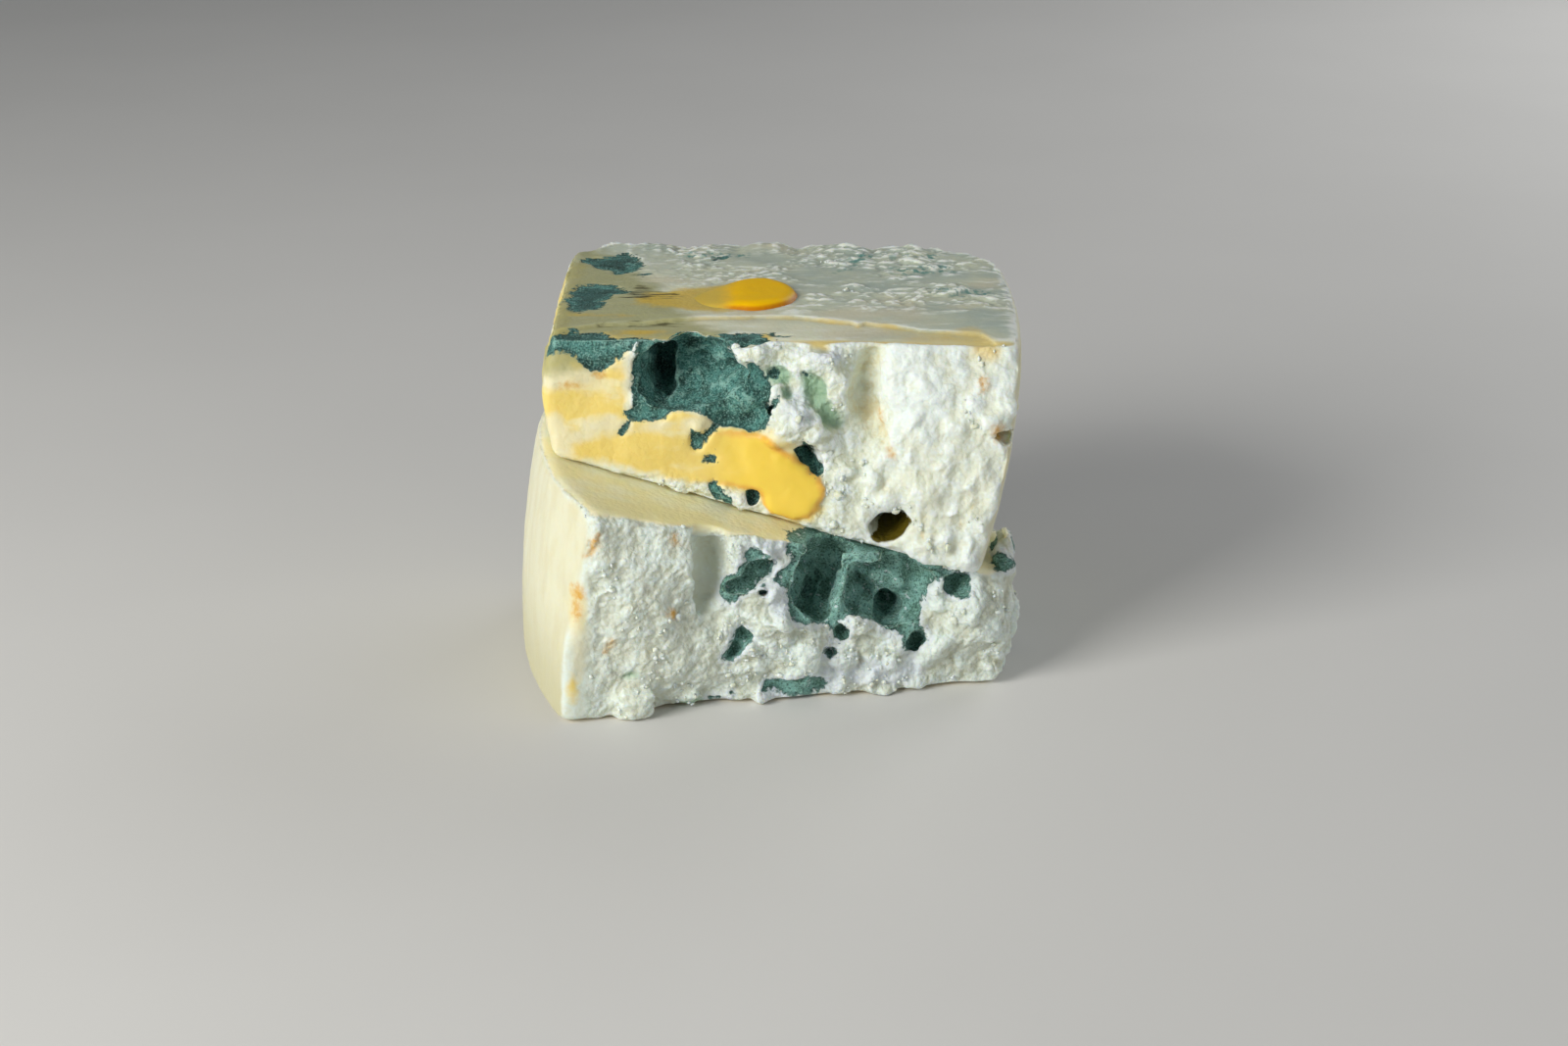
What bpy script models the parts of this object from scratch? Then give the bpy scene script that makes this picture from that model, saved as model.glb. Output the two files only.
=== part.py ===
"""Wedge of blue cheese, cut slantwise into two slices that sit back together.

Each slice tapers from a thick rind end to a thin end, and the two lie head to tail on a sloping
seam, so the block has a level top and a level foot. The front and back are broken open, with
hollows where the mould grows. Lengths are in millimetres until they are scaled to metres.
X runs along the slices, Y from the broken front to the back, Z up. The origin ends up in the
middle of the underside of the box round both slices.
"""

import math

import bmesh
import bpy
from mathutils import Matrix, Vector, noise

MM = 0.001

# Driving dimensions of the block
BLOCK_HEIGHT = 49.6
SEAM_HEIGHT = 24.4  # of the seam at x = 0
SEAM_SLOPE = -0.267
SEAM_GAP = 0.34
EDGE_RADIUS = 1.3
RIND_BARREL = 1.0

# Upper slice: thin end left, rind right
UPPER_LEFT = -31.7
UPPER_RIND = 32.9
UPPER_RIND_LEAN = 0.133  # a rind stands square to its slice's middle plane
UPPER_RIND_MIDDLE = 20.0
UPPER_FRONT = 1.8
UPPER_FRONT_TURN = -0.05
UPPER_FRONT_LEAN = 0.17
UPPER_BACK = 47.6

# Lower slice: rind left, thin end right, turned so that its left end comes forward
LOWER_RIND = -38.0
LOWER_RIND_LEAN = 0.095
LOWER_RIND_MIDDLE = 16.0
LOWER_RIND_CURVE = 0.0083
LOWER_RIGHT = 29.6
LOWER_FRONT = -7.5
LOWER_FRONT_TURN = 0.19
LOWER_BACK = 40.5
LOWER_BACK_TURN = 0.1

RIND_CORNER = 7.5  # how far a rind comes in at its back corner
RIND_NOSE = 1.8  # the same at the lower slice's front corner
THIN_CORNER = 4.5  # the same at the thin end

# Surface cells along X, Y and Z
UPPER_CELLS = (24, 14, 13)
LOWER_CELLS = (24, 14, 13)
CROWDING = 0.55  # draws the cells together towards the block's edges

LUMPINESS = 0.2  # of the hollows and lumps

PASTE = (0.86, 0.84, 0.74, 1.0)
RIPE_PASTE = (0.84, 0.79, 0.62, 1.0)
PASTE_ROUGHNESS = 0.6


def mix(a, b, t):
    return a + (b - a) * t


def step(low, high, value):
    """0 below low, 1 above high, and smooth between."""
    t = min(1.0, max(0.0, (value - low) / (high - low)))
    return t * t * (3.0 - 2.0 * t)


def bump(value, middle, reach):
    """1 at the middle, 0 beyond the reach on either side, and smooth between."""
    return 1.0 - step(0.0, 1.0, abs(value - middle) / reach)


def seam(x):
    return SEAM_HEIGHT + SEAM_SLOPE * x


def barrel(z, low, high):
    """How far a rind swells out between its two cut edges."""
    t = 2.0 * (z - low) / (high - low) - 1.0
    return RIND_BARREL * (1.0 - t * t)


def uneven(x, z, seed, size):
    """Soft noise between about -1 and 1, for a broken face."""
    return noise.fractal(Vector((x / size, seed, z / size)), 0.8, 2.0, 3)


def back_corner(v, start, size):
    """How far an end comes in towards its back corner, for a distance v from front to back."""
    return size * step(start, 1.0, v) ** 2


def upper_relief(x, z):
    """Depth of the upper slice's broken front, positive into the cheese."""
    trough = 3.0 * bump(x, 11.0 + 0.2 * (z - 42.0), 4.6) * step(31.0, 39.0, z)
    shoulder = -1.3 * step(13.5, 18.0, x) * step(24.0, 30.0, z)
    curd = -1.2 * bump(x, 2.5, 5.0) * bump(z, 39.5, 7.0)
    rough = 0.7 * uneven(x, z, 3.1, 9.0) * step(-22.0, -14.0, x)
    return (trough + shoulder + curd + rough) * step(BLOCK_HEIGHT, BLOCK_HEIGHT - 4.5, z)


def lower_relief(x, z):
    """Depth of the lower slice's broken front, positive into the cheese."""
    trough = 3.2 * bump(x, -9.6, 3.0) * step(9.0, 15.0, z)
    belly = -1.2 * bump(x, -19.0, 9.0) * bump(z, 14.0, 15.0)
    curd = -1.5 * bump(x, 26.5, 7.0) * bump(z, 9.5, 9.0)
    foot = 1.8 * step(-19.5, -17.5, x) * step(-3.0, -9.0, x) * step(8.0, 1.0, z)
    rough = 0.8 * uneven(x, z, 7.7, 8.0)
    return (trough + belly + curd + rough) * step(seam(x) + 1.0, seam(x) - 4.0, z) + foot


def back_relief(x, z, seed):
    """How far the broken back comes in, with one long hollow across it."""
    return 1.6 * uneven(x, z, seed, 11.0) + 1.4 * bump(z, 26.0, 14.0)


def upper_point(u, v, w):
    """Point of the upper slice for a point of the unit block."""
    x = mix(UPPER_LEFT, UPPER_RIND, u)
    z = mix(seam(x), BLOCK_HEIGHT, w)
    front = UPPER_FRONT + UPPER_FRONT_TURN * x - UPPER_FRONT_LEAN * (BLOCK_HEIGHT - z)
    y = mix(front, UPPER_BACK, v)
    swell = ((y - UPPER_RIND_MIDDLE) / (UPPER_BACK - UPPER_RIND_MIDDLE)) ** 2
    right = UPPER_RIND - 2.1 * swell - UPPER_RIND_LEAN * (BLOCK_HEIGHT - z)
    right += barrel(z, seam(x), BLOCK_HEIGHT) - back_corner(v, 0.7, RIND_CORNER)
    left = UPPER_LEFT - 1.2 * math.sin(math.pi * w) + back_corner(v, 0.85, THIN_CORNER)
    x = mix(left, right, u)
    z = mix(seam(x) + SEAM_GAP / 2, BLOCK_HEIGHT, w)
    y += upper_relief(x, z) * step(0.32, 0.0, v)
    y -= back_relief(x, z, 5.5) * step(0.7, 1.0, v)
    return Vector((x, y, z))


def lower_point(u, v, w):
    """Point of the lower slice for a point of the unit block."""
    x = mix(LOWER_RIND, LOWER_RIGHT, u)
    y = mix(LOWER_FRONT + LOWER_FRONT_TURN * x, LOWER_BACK + LOWER_BACK_TURN * x, v)
    z = mix(0.0, seam(x), w)
    left = LOWER_RIND + LOWER_RIND_CURVE * (y - LOWER_RIND_MIDDLE) ** 2 + LOWER_RIND_LEAN * z
    left += back_corner(v, 0.75, RIND_CORNER) - barrel(z, 0.0, seam(x))
    left += RIND_NOSE * step(0.16, 0.0, v) * step(8.0, 22.0, z)
    right = LOWER_RIGHT + 1.6 * math.sin(math.pi * w) + 1.4 * bump(y, 6.0, 12.0)
    right += 0.9 * uneven(y, z, 2.2, 8.0) - back_corner(v, 0.85, THIN_CORNER)
    x = mix(left, right, u)
    z = mix(0.0, seam(x) - SEAM_GAP / 2, w)
    y += lower_relief(x, z) * step(0.32, 0.0, v)
    y -= back_relief(x, z, 9.4) * step(0.7, 1.0, v)
    return Vector((x, y, z))


def crowd(t):
    return t + CROWDING * math.sin(math.pi * t) / math.pi


def rounded(point, half):
    """Rounds the edges of a block of these half sizes by drawing its corners in."""
    core = Vector(
        max(-(h - EDGE_RADIUS), min(h - EDGE_RADIUS, c)) for c, h in zip(point, half)
    )
    out = point - core
    if out.length < 1e-9:
        return point
    return core + out * (max(abs(c) for c in out) / out.length)


def block_mesh(name, cells, half, shape):
    """A cube cut into cells, rounded, then bent to the slice's shape."""
    bm = bmesh.new()
    bmesh.ops.create_cube(bm, size=2.0)
    for axis, count in enumerate(cells):
        along = [
            e for e in bm.edges
            if abs(e.verts[0].co[axis] - e.verts[1].co[axis]) > 1.0
        ]
        bmesh.ops.subdivide_edges(bm, edges=along, cuts=count - 1, use_grid_fill=True)
    for vert in bm.verts:
        point = Vector(crowd(c) * h for c, h in zip(vert.co, half))
        point = rounded(point, half)
        vert.co = shape(*((c / h + 1.0) / 2.0 for c, h in zip(point, half)))
    mesh = bpy.data.meshes.new(name)
    bm.to_mesh(mesh)
    bm.free()
    mesh.transform(Matrix.Scale(MM, 4))
    return mesh


def blob_mesh(name, centre, radii, turn, detail):
    """A lumpy ellipsoid, turned about Y by so many degrees."""
    bm = bmesh.new()
    bmesh.ops.create_icosphere(bm, subdivisions=detail, radius=1.0)
    for vert in bm.verts:
        lump = 1.0 + LUMPINESS * noise.noise(vert.co * 1.7 + Vector(centre))
        vert.co = Vector(c * r * lump for c, r in zip(vert.co, radii))
    bmesh.ops.rotate(bm, matrix=Matrix.Rotation(math.radians(turn), 3, "Y"), verts=bm.verts)
    bmesh.ops.translate(bm, vec=Vector(centre), verts=bm.verts)
    mesh = bpy.data.meshes.new(name)
    bm.to_mesh(mesh)
    bm.free()
    mesh.transform(Matrix.Scale(MM, 4))
    return mesh


# Each blob: name, centre, radii, turn about Y in degrees, icosphere detail
UPPER_HOLLOWS = (
    ("mould_bowl", (-12.0, 1.4, 45.0), (8.2, 8.2, 5.0), -14.0, 3),
    ("mould_ledge", (-8.4, -0.2, 40.8), (6.8, 2.4, 3.2), 8.0, 3),
    ("mould_shaft", (-16.4, 6.6, 44.4), (2.4, 7.2, 4.6), -8.0, 3),
    ("air_hole", (14.5, -1.5, 24.6), (3.0, 7.0, 2.1), -25.0, 3),
    ("notch", (3.8, -2.0, 33.4), (2.1, 3.6, 2.0), 30.0, 2),
)
LOWER_HOLLOWS = (
    ("mould_cave_left", (5.6, -5.0, 17.4), (5.2, 5.4, 5.8), 0.0, 3),
    ("mould_cave_right", (14.4, -3.4, 15.4), (6.4, 5.4, 4.8), 15.0, 3),
    ("cave_shaft", (14.4, 1.0, 13.2), (2.4, 6.0, 2.1), 0.0, 2),
    ("oval_pocket", (-4.8, -7.6, 19.2), (4.6, 2.6, 1.8), -35.0, 2),
    ("small_pocket", (-6.4, -8.4, 9.4), (2.4, 2.0, 1.2), -55.0, 2),
)
LOWER_LUMPS = (
    ("end_lump", (30.9, 5.4, 15.4), (1.55, 4.4, 5.2), 0.0, 3),
    ("end_lump_low", (30.4, 11.6, 12.6), (1.8, 5.2, 4.4), 0.0, 3),
)


def material(name, colour):
    made = bpy.data.materials.new(name)
    made.use_nodes = True
    shader = made.node_tree.nodes["Principled BSDF"]
    shader.inputs["Base Color"].default_value = colour
    shader.inputs["Roughness"].default_value = PASTE_ROUGHNESS
    made.diffuse_color = colour
    return made


def slice_object(name, mesh, colour, parts, tools):
    """Links a slice to the parts collection, with one Boolean for each collection of blobs."""
    made = bpy.data.objects.new(name, mesh)
    mesh.materials.append(material(name, colour))
    parts.objects.link(made)
    for operation, blobs in tools:
        modifier = made.modifiers.new(blobs.name, "BOOLEAN")
        modifier.operation = operation
        modifier.solver = "EXACT"
        modifier.operand_type = "COLLECTION"
        modifier.collection = blobs
    return made


def blob_collection(name, blobs, cutters):
    """Hidden blobs that a slice loses or gains."""
    group = bpy.data.collections.new(name)
    cutters.children.link(group)
    for blob_name, *form in blobs:
        blob = bpy.data.objects.new(blob_name, blob_mesh(blob_name, *form))
        blob.hide_render = True
        blob.display_type = "WIRE"
        group.objects.link(blob)
    return group


def centre_on_foot(objects, helpers):
    """Moves everything so that the origin is in the middle of the underside of the slices' box."""
    bpy.context.view_layer.update()
    graph = bpy.context.evaluated_depsgraph_get()
    corners = []
    for obj in objects:
        shape = obj.evaluated_get(graph).to_mesh()
        corners += [v.co.copy() for v in shape.vertices]
    low = Vector(min(c[i] for c in corners) for i in range(3))
    high = Vector(max(c[i] for c in corners) for i in range(3))
    shift = Vector((-(low.x + high.x) / 2, -(low.y + high.y) / 2, -low.z))
    for obj in [*objects, *helpers]:
        obj.data.transform(Matrix.Translation(shift))


def main():
    for obj in list(bpy.data.objects):
        bpy.data.objects.remove(obj)
    parts = bpy.data.collections.new("blue_cheese_wedge")
    cutters = bpy.data.collections.new("hollows")
    for collection in (parts, cutters):
        bpy.context.scene.collection.children.link(collection)

    upper_tools = [("DIFFERENCE", blob_collection("upper_hollows", UPPER_HOLLOWS, cutters))]
    lower_tools = [
        ("UNION", blob_collection("lower_lumps", LOWER_LUMPS, cutters)),
        ("DIFFERENCE", blob_collection("lower_hollows", LOWER_HOLLOWS, cutters)),
    ]
    upper = slice_object(
        "upper_slice", block_mesh("upper_slice", UPPER_CELLS, (31.0, 24.0, 12.5), upper_point),
        PASTE, parts, upper_tools,
    )
    lower = slice_object(
        "lower_slice", block_mesh("lower_slice", LOWER_CELLS, (34.0, 24.0, 12.5), lower_point),
        RIPE_PASTE, parts, lower_tools,
    )
    centre_on_foot((upper, lower), list(cutters.all_objects))


main()
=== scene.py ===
"""Looks of the wedge of blue cheese: two slices, broken open over their mould, with honey on them.

Both slices are grown from the frame's solids. Each gets lumps and deeper hollows, is remeshed
finely, and then takes its curd, its torn fibres, its knife-cut face and its rind from reliefs
that differ from place to place. Places are in millimetres from the datum: on the foot, below the
middle of the top front edge. The fronts are drawn as (x, z) and the top as (x, y).
"""

import math
import random

import bmesh
import bpy
import numpy as np
from mathutils import Matrix, Vector, noise
from mathutils.bvhtree import BVHTree

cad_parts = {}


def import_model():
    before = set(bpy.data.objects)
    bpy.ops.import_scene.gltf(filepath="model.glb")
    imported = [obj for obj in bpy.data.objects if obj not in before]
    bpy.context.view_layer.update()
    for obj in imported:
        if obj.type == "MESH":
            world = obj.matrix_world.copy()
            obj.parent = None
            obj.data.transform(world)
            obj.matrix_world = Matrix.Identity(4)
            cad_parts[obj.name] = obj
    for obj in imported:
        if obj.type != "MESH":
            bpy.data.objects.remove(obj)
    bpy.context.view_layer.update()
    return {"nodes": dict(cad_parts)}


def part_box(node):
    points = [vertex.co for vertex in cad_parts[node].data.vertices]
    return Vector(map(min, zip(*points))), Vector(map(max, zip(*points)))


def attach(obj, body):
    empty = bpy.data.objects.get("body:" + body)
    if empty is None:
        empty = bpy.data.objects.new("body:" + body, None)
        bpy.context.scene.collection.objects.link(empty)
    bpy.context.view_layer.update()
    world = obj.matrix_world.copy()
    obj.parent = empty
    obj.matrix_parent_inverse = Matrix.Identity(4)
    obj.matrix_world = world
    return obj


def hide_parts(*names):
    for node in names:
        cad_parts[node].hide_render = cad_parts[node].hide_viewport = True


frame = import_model()

MM = 0.001
VOXEL = 0.29
MOST_TRIANGLES = 190_000

UPPER_LOW, UPPER_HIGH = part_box("upper_slice")
LOWER_LOW, LOWER_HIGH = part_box("lower_slice")
DATUM = Vector((UPPER_LOW.x + 32.88 * MM, LOWER_LOW.y + 14.89 * MM, LOWER_LOW.z))

BLOCK_HEIGHT = (UPPER_HIGH.z - LOWER_LOW.z) / MM
SEAM_HEIGHT = 24.4
SEAM_SLOPE = -0.267
TOP_LINE = BLOCK_HEIGHT - 0.9  # above this, and facing up, lies the knife-cut top


# --- Shapes drawn on a face -------------------------------------------------------------------


def oval(u, v, ru, rv, turn=0.0):
    """Eight points of an oval about (u, v), turned anticlockwise by so many degrees."""
    c, s = math.cos(math.radians(turn)), math.sin(math.radians(turn))
    points = []
    for k in range(8):
        a = math.tau * k / 8
        x, y = ru * math.cos(a), rv * math.sin(a)
        points.append((u + c * x - s * y, v + s * x + c * y))
    return points


def smooth_outline(points, steps=5):
    """A closed curve through these points."""
    p = np.array(points, float)
    before, after, last = np.roll(p, 1, 0), np.roll(p, -1, 0), np.roll(p, -2, 0)
    curve = []
    for k in range(steps):
        t = k / steps
        curve.append(0.5 * (2 * p + (after - before) * t + (2 * before - 5 * p + 4 * after - last) * t * t
                            + (3 * p - before - 3 * after + last) * t ** 3))
    return np.stack(curve, 1).reshape(-1, 2)


def depth_inside(points, u, v, margin=3.0):
    """How many millimetres each place (u, v) lies inside a smooth outline, negative outside."""
    curve = smooth_outline(points)
    found = np.full(len(u), -margin)
    low, high = curve.min(0) - margin, curve.max(0) + margin
    near = np.nonzero((u > low[0]) & (u < high[0]) & (v > low[1]) & (v < high[1]))[0]
    if len(near) == 0:
        return found
    x, y = u[near], v[near]
    gap = np.full(len(near), margin * margin)
    odd = np.zeros(len(near), bool)
    for a, b in zip(curve, np.roll(curve, -1, 0)):
        d = b - a
        t = np.clip(((x - a[0]) * d[0] + (y - a[1]) * d[1]) / max(d @ d, 1e-9), 0.0, 1.0)
        gap = np.minimum(gap, (x - a[0] - t * d[0]) ** 2 + (y - a[1] - t * d[1]) ** 2)
        if a[1] != b[1]:
            crosses = (a[1] > y) != (b[1] > y)
            odd ^= crosses & (x < a[0] + (y - a[1]) * d[0] / d[1])
    found[near] = np.sqrt(gap) * np.where(odd, 1.0, -1.0)
    return found


def step(low, high, value):
    """0 below low, 1 above high, and smooth between."""
    t = np.clip((value - low) / (high - low), 0.0, 1.0)
    return t * t * (3.0 - 2.0 * t)


# --- Places on the slices ---------------------------------------------------------------------
# Each patch is an outline and how deep behind the front it reaches.

POCKET = [
    (-18.6, 51.5), (-19.9, 48.0), (-20.5, 43.5), (-20.3, 40.6), (-21.5, 39.2), (-20.2, 38.2),
    (-16.3, 38.5), (-14.2, 39.8), (-11.5, 39.5), (-9.2, 37.9), (-6.1, 37.5), (-2.7, 37.1),
    (-2.1, 40.0), (-2.7, 45.2), (-6.3, 46.8), (-7.2, 48.8), (-4.8, 49.7), (-5.1, 51.5), (-12.0, 51.8),
]
LEFT_CORNER = [
    (-34.0, 52.5), (-24.0, 52.5), (-18.6, 52.0), (-19.9, 48.8), (-21.2, 47.3), (-23.3, 45.9),
    (-24.6, 44.9), (-26.4, 44.7), (-27.8, 46.2), (-29.9, 47.4), (-33.4, 47.2),
]
BLACK_NOTCH = [(1.3, 34.6), (3.2, 35.4), (4.6, 34.0), (5.5, 31.6), (4.2, 31.2), (2.8, 33.0)]
UNDER_LOBE = [(-10.4, 28.2), (-9.7, 30.4), (-8.4, 29.2), (-7.1, 28.2), (-7.2, 26.3), (-8.6, 26.9)]
UNDER_LEDGE = [
    (-12.7, 36.9), (-10.8, 36.7), (-9.4, 38.3), (-8.4, 38.3), (-10.1, 36.0), (-10.9, 35.0),
    (-12.3, 34.1), (-12.7, 35.4),
]
GREEN_PATCH = [
    (2.4, 44.4), (3.7, 45.1), (5.4, 43.9), (6.1, 41.3), (7.9, 39.1), (7.3, 37.6), (5.6, 37.8),
    (4.2, 40.0), (3.2, 42.1),
]
OLIVE_HOLE = [
    (11.8, 22.9), (12.7, 23.8), (13.2, 25.2), (14.6, 26.5), (16.6, 26.3), (17.3, 24.9), (15.8, 23.1),
    (14.2, 22.2), (12.6, 22.3),
]
LOBE = [
    (-14.0, 32.0), (-12.4, 34.8), (-9.4, 36.8), (-6.0, 37.0), (-2.8, 36.6), (-0.6, 35.1), (2.0, 33.3),
    (3.8, 31.8), (5.2, 30.2), (5.3, 28.0), (4.0, 25.9), (1.3, 25.1), (-1.6, 25.7), (-2.8, 27.2),
    (-3.5, 28.8), (-5.8, 29.3), (-8.7, 29.7), (-11.2, 30.4),
]
CAVE = [
    (2.0, 26.0), (1.1, 20.8), (-1.2, 19.2), (0.1, 16.7), (0.7, 13.6), (1.3, 12.0), (4.0, 11.5),
    (6.2, 10.8), (6.9, 8.8), (7.7, 8.6), (9.2, 9.8), (7.6, 11.6), (9.7, 12.6), (12.0, 11.3),
    (13.9, 9.9), (16.0, 8.6), (17.1, 5.8), (18.2, 6.3), (19.8, 7.7), (18.8, 9.9), (19.0, 12.8),
    (19.9, 15.8), (21.9, 17.8), (22.0, 26.0),
]
LOWER_OVAL = [
    (-8.9, 17.0), (-8.3, 18.8), (-6.6, 20.0), (-5.2, 22.0), (-4.2, 23.5), (-2.0, 21.8), (-1.8, 20.1),
    (-3.6, 18.7), (-5.0, 17.0), (-6.9, 15.4), (-8.5, 15.8),
]
SMALL_OVAL = [(-8.3, 7.5), (-7.2, 10.2), (-5.8, 11.6), (-4.3, 10.4), (-4.8, 8.8), (-7.2, 7.1)]
FOOT_MOULD = [(-2.9, 1.8), (-1.2, 3.7), (2.0, 3.1), (5.2, 3.1), (5.5, 1.0), (2.5, 0.3), (-0.1, 1.1)]
SEAM_MOULD = [(21.1, 18.4), (23.1, 17.8), (25.4, 16.6), (25.6, 13.3), (23.2, 14.4)]
TROUGH = [(-12.0, 28.5), (-9.2, 28.5), (-9.0, 20.0), (-9.6, 14.4), (-11.6, 14.0), (-12.2, 20.6)]

TOP_MOULD_BACK = [
    (-30.0, 37.6), (-28.6, 40.4), (-25.4, 40.4), (-23.6, 42.4), (-21.4, 39.3), (-21.6, 33.4),
    (-23.4, 32.0), (-25.7, 33.3), (-28.0, 35.6),
]
TOP_MOULD_LEFT = [
    (-30.6, 21.0), (-30.2, 26.0), (-26.5, 26.4), (-23.4, 25.0), (-22.0, 23.2), (-24.2, 20.8),
    (-25.3, 18.6), (-25.8, 15.0), (-29.3, 14.4),
]
TOP_MOULD_CORNER = [
    (-34.0, -3.0), (-33.0, 3.0), (-31.0, 5.2), (-27.0, 6.4), (-24.0, 5.4), (-22.4, 4.0),
    (-18.0, 3.8), (-17.4, 0.0), (-24.0, -3.0),
]
TOP_MOULD_RIM = [(-9.8, 3.6), (-8.4, 5.4), (-6.0, 5.9), (-3.4, 5.4), (-2.4, 3.2), (-5.0, 1.6)]
TOP_STREAK = [
    (7.2, 31.6), (8.0, 34.6), (9.4, 36.6), (9.8, 40.2), (11.4, 42.4), (13.8, 41.2), (12.8, 38.6),
    (11.4, 37.0), (10.4, 34.4), (8.6, 32.4),
]
TONGUE = [
    (-13.6, 20.4), (-10.5, 23.6), (-7.8, 25.8), (-5.4, 27.1), (-3.4, 27.5), (-1.6, 27.0), (0.6, 24.6),
    (1.8, 21.0), (0.8, 17.2), (-1.5, 15.2), (-4.1, 14.4), (-6.8, 14.9), (-9.6, 15.8), (-12.0, 17.4),
]
TONGUE_FILM = [
    (-21.4, 18.6), (-18.4, 21.8), (-12.9, 24.1), (-9.0, 26.2), (-5.0, 24.0), (-6.0, 16.0), (-9.0, 14.4),
    (-12.0, 14.2), (-14.3, 14.8), (-18.2, 16.0),
]
STRIP_EDGE = [
    (-33.0, 4.6), (-24.8, 8.6), (-18.2, 9.7), (-11.0, 11.5), (-3.8, 12.2), (0.9, 11.9), (4.5, 10.8),
    (9.3, 9.4), (10.1, 8.2), (11.0, 9.2), (14.0, 8.4), (18.7, 5.8), (23.4, 5.0), (26.5, 4.2),
    (28.6, 0.6), (30.0, -4.0),
]

# kind: list of (outline, depth behind the front)
UPPER_FRONT_PATCHES = {
    "mould": [
        (POCKET, 16.0), (LEFT_CORNER, 2.2), (UNDER_LEDGE, 2.5), (oval(-10.0, 33.3, 0.9, 0.7), 2.0),
        (BLACK_NOTCH, 5.0), (UNDER_LOBE, 2.5), (oval(-4.3, 28.3, 0.9, 0.9), 3.0),
        (oval(-21.7, 37.2, 0.5, 1.2, -30.0), 2.0), (oval(-0.9, 49.4, 1.3, 0.6), 2.0),
        (oval(-1.2, 45.0, 0.9, 0.8), 2.0), (oval(2.6, 45.0, 0.6, 0.35, -20.0), 2.5),
        (oval(-1.8, 40.2, 0.5, 1.6, -30.0), 2.0), (oval(29.5, 19.0, 1.0, 0.6), 3.0),
    ],
    "green": [(GREEN_PATCH, 3.0), (oval(-0.9, 44.6, 2.0, 1.5), 2.0), (oval(0.2, 42.4, 0.9, 0.7), 2.0)],
    "ripe": [
        ([(-34.0, 50.0), (-27.0, 50.0), (-21.8, 49.0), (-21.2, 41.4), (-20.0, 38.8), (-14.0, 40.0),
          (-9.0, 38.2), (-3.0, 37.2), (3.0, 34.2), (5.0, 29.4), (3.8, 25.6), (0.6, 25.0),
          (-4.8, 28.6), (-12.0, 30.0), (-24.0, 32.4), (-34.0, 35.6)], 5.0),
        (oval(-15.0, 50.0, 1.2, 0.8), 3.0),
    ],
    "pale": [
        (oval(-29.0, 44.0, 4.6, 1.6, 8.0), 3.0), (oval(-20.9, 43.6, 0.7, 3.4), 2.0),
        ([(-31.5, 36.0), (-28.0, 37.2), (-24.0, 39.0), (-21.2, 38.4), (-21.0, 36.9), (-25.0, 35.9), (-30.0, 34.4)], 3.0),
        (oval(-32.0, 35.0, 3.4, 4.0), 3.0), (oval(-11.5, 38.0, 2.6, 0.9), 3.0),
        (oval(-17.0, 37.6, 2.6, 0.6, 8.0), 3.0),
    ],
    "frost_and_painted_light": [(oval(2.0, 40.4, 2.0, 2.6), 4.0), (oval(5.4, 47.6, 2.4, 1.5), 3.0), (oval(-30.0, 46.9, 2.2, 0.5), 2.0)],
    "orange": [
        (oval(12.6, 39.4, 0.1, 1.0, 10.0), 3.0), (oval(28.9, 37.3, 0.5, 0.7), 3.0),
        (oval(14.5, 34.6, 0.1, 0.6, 30.0), 3.0), (oval(26.6, 44.0, 0.1, 0.7), 3.0),
        (oval(-25.0, 44.4, 0.5, 0.2), 2.0), (oval(-29.0, 42.8, 1.2, 0.1), 2.0),
    ],
    "olive": [(OLIVE_HOLE, 12.0)],
    # Painted shade: the front's top-left corner is darkened to olive, like the left of the top
    "painted_left_shade": [([(-36.0, 44.0), (-27.0, 44.0), (-23.4, 46.0), (-24.0, 50.0), (-36.0, 50.0)], 6.0)],
    "honey": [(LOBE, 4.0)],
    "smooth": [
        ([(-34.0, 51.0), (-22.0, 51.0), (-20.6, 44.0), (-20.0, 40.0), (-14.0, 41.0), (-9.0, 39.4),
          (-3.0, 37.6), (3.0, 34.2), (5.0, 29.4), (3.8, 25.6), (0.6, 25.0), (-4.8, 28.8),
          (-12.0, 30.2), (-34.0, 33.4)], 4.0),
    ],
}
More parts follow.
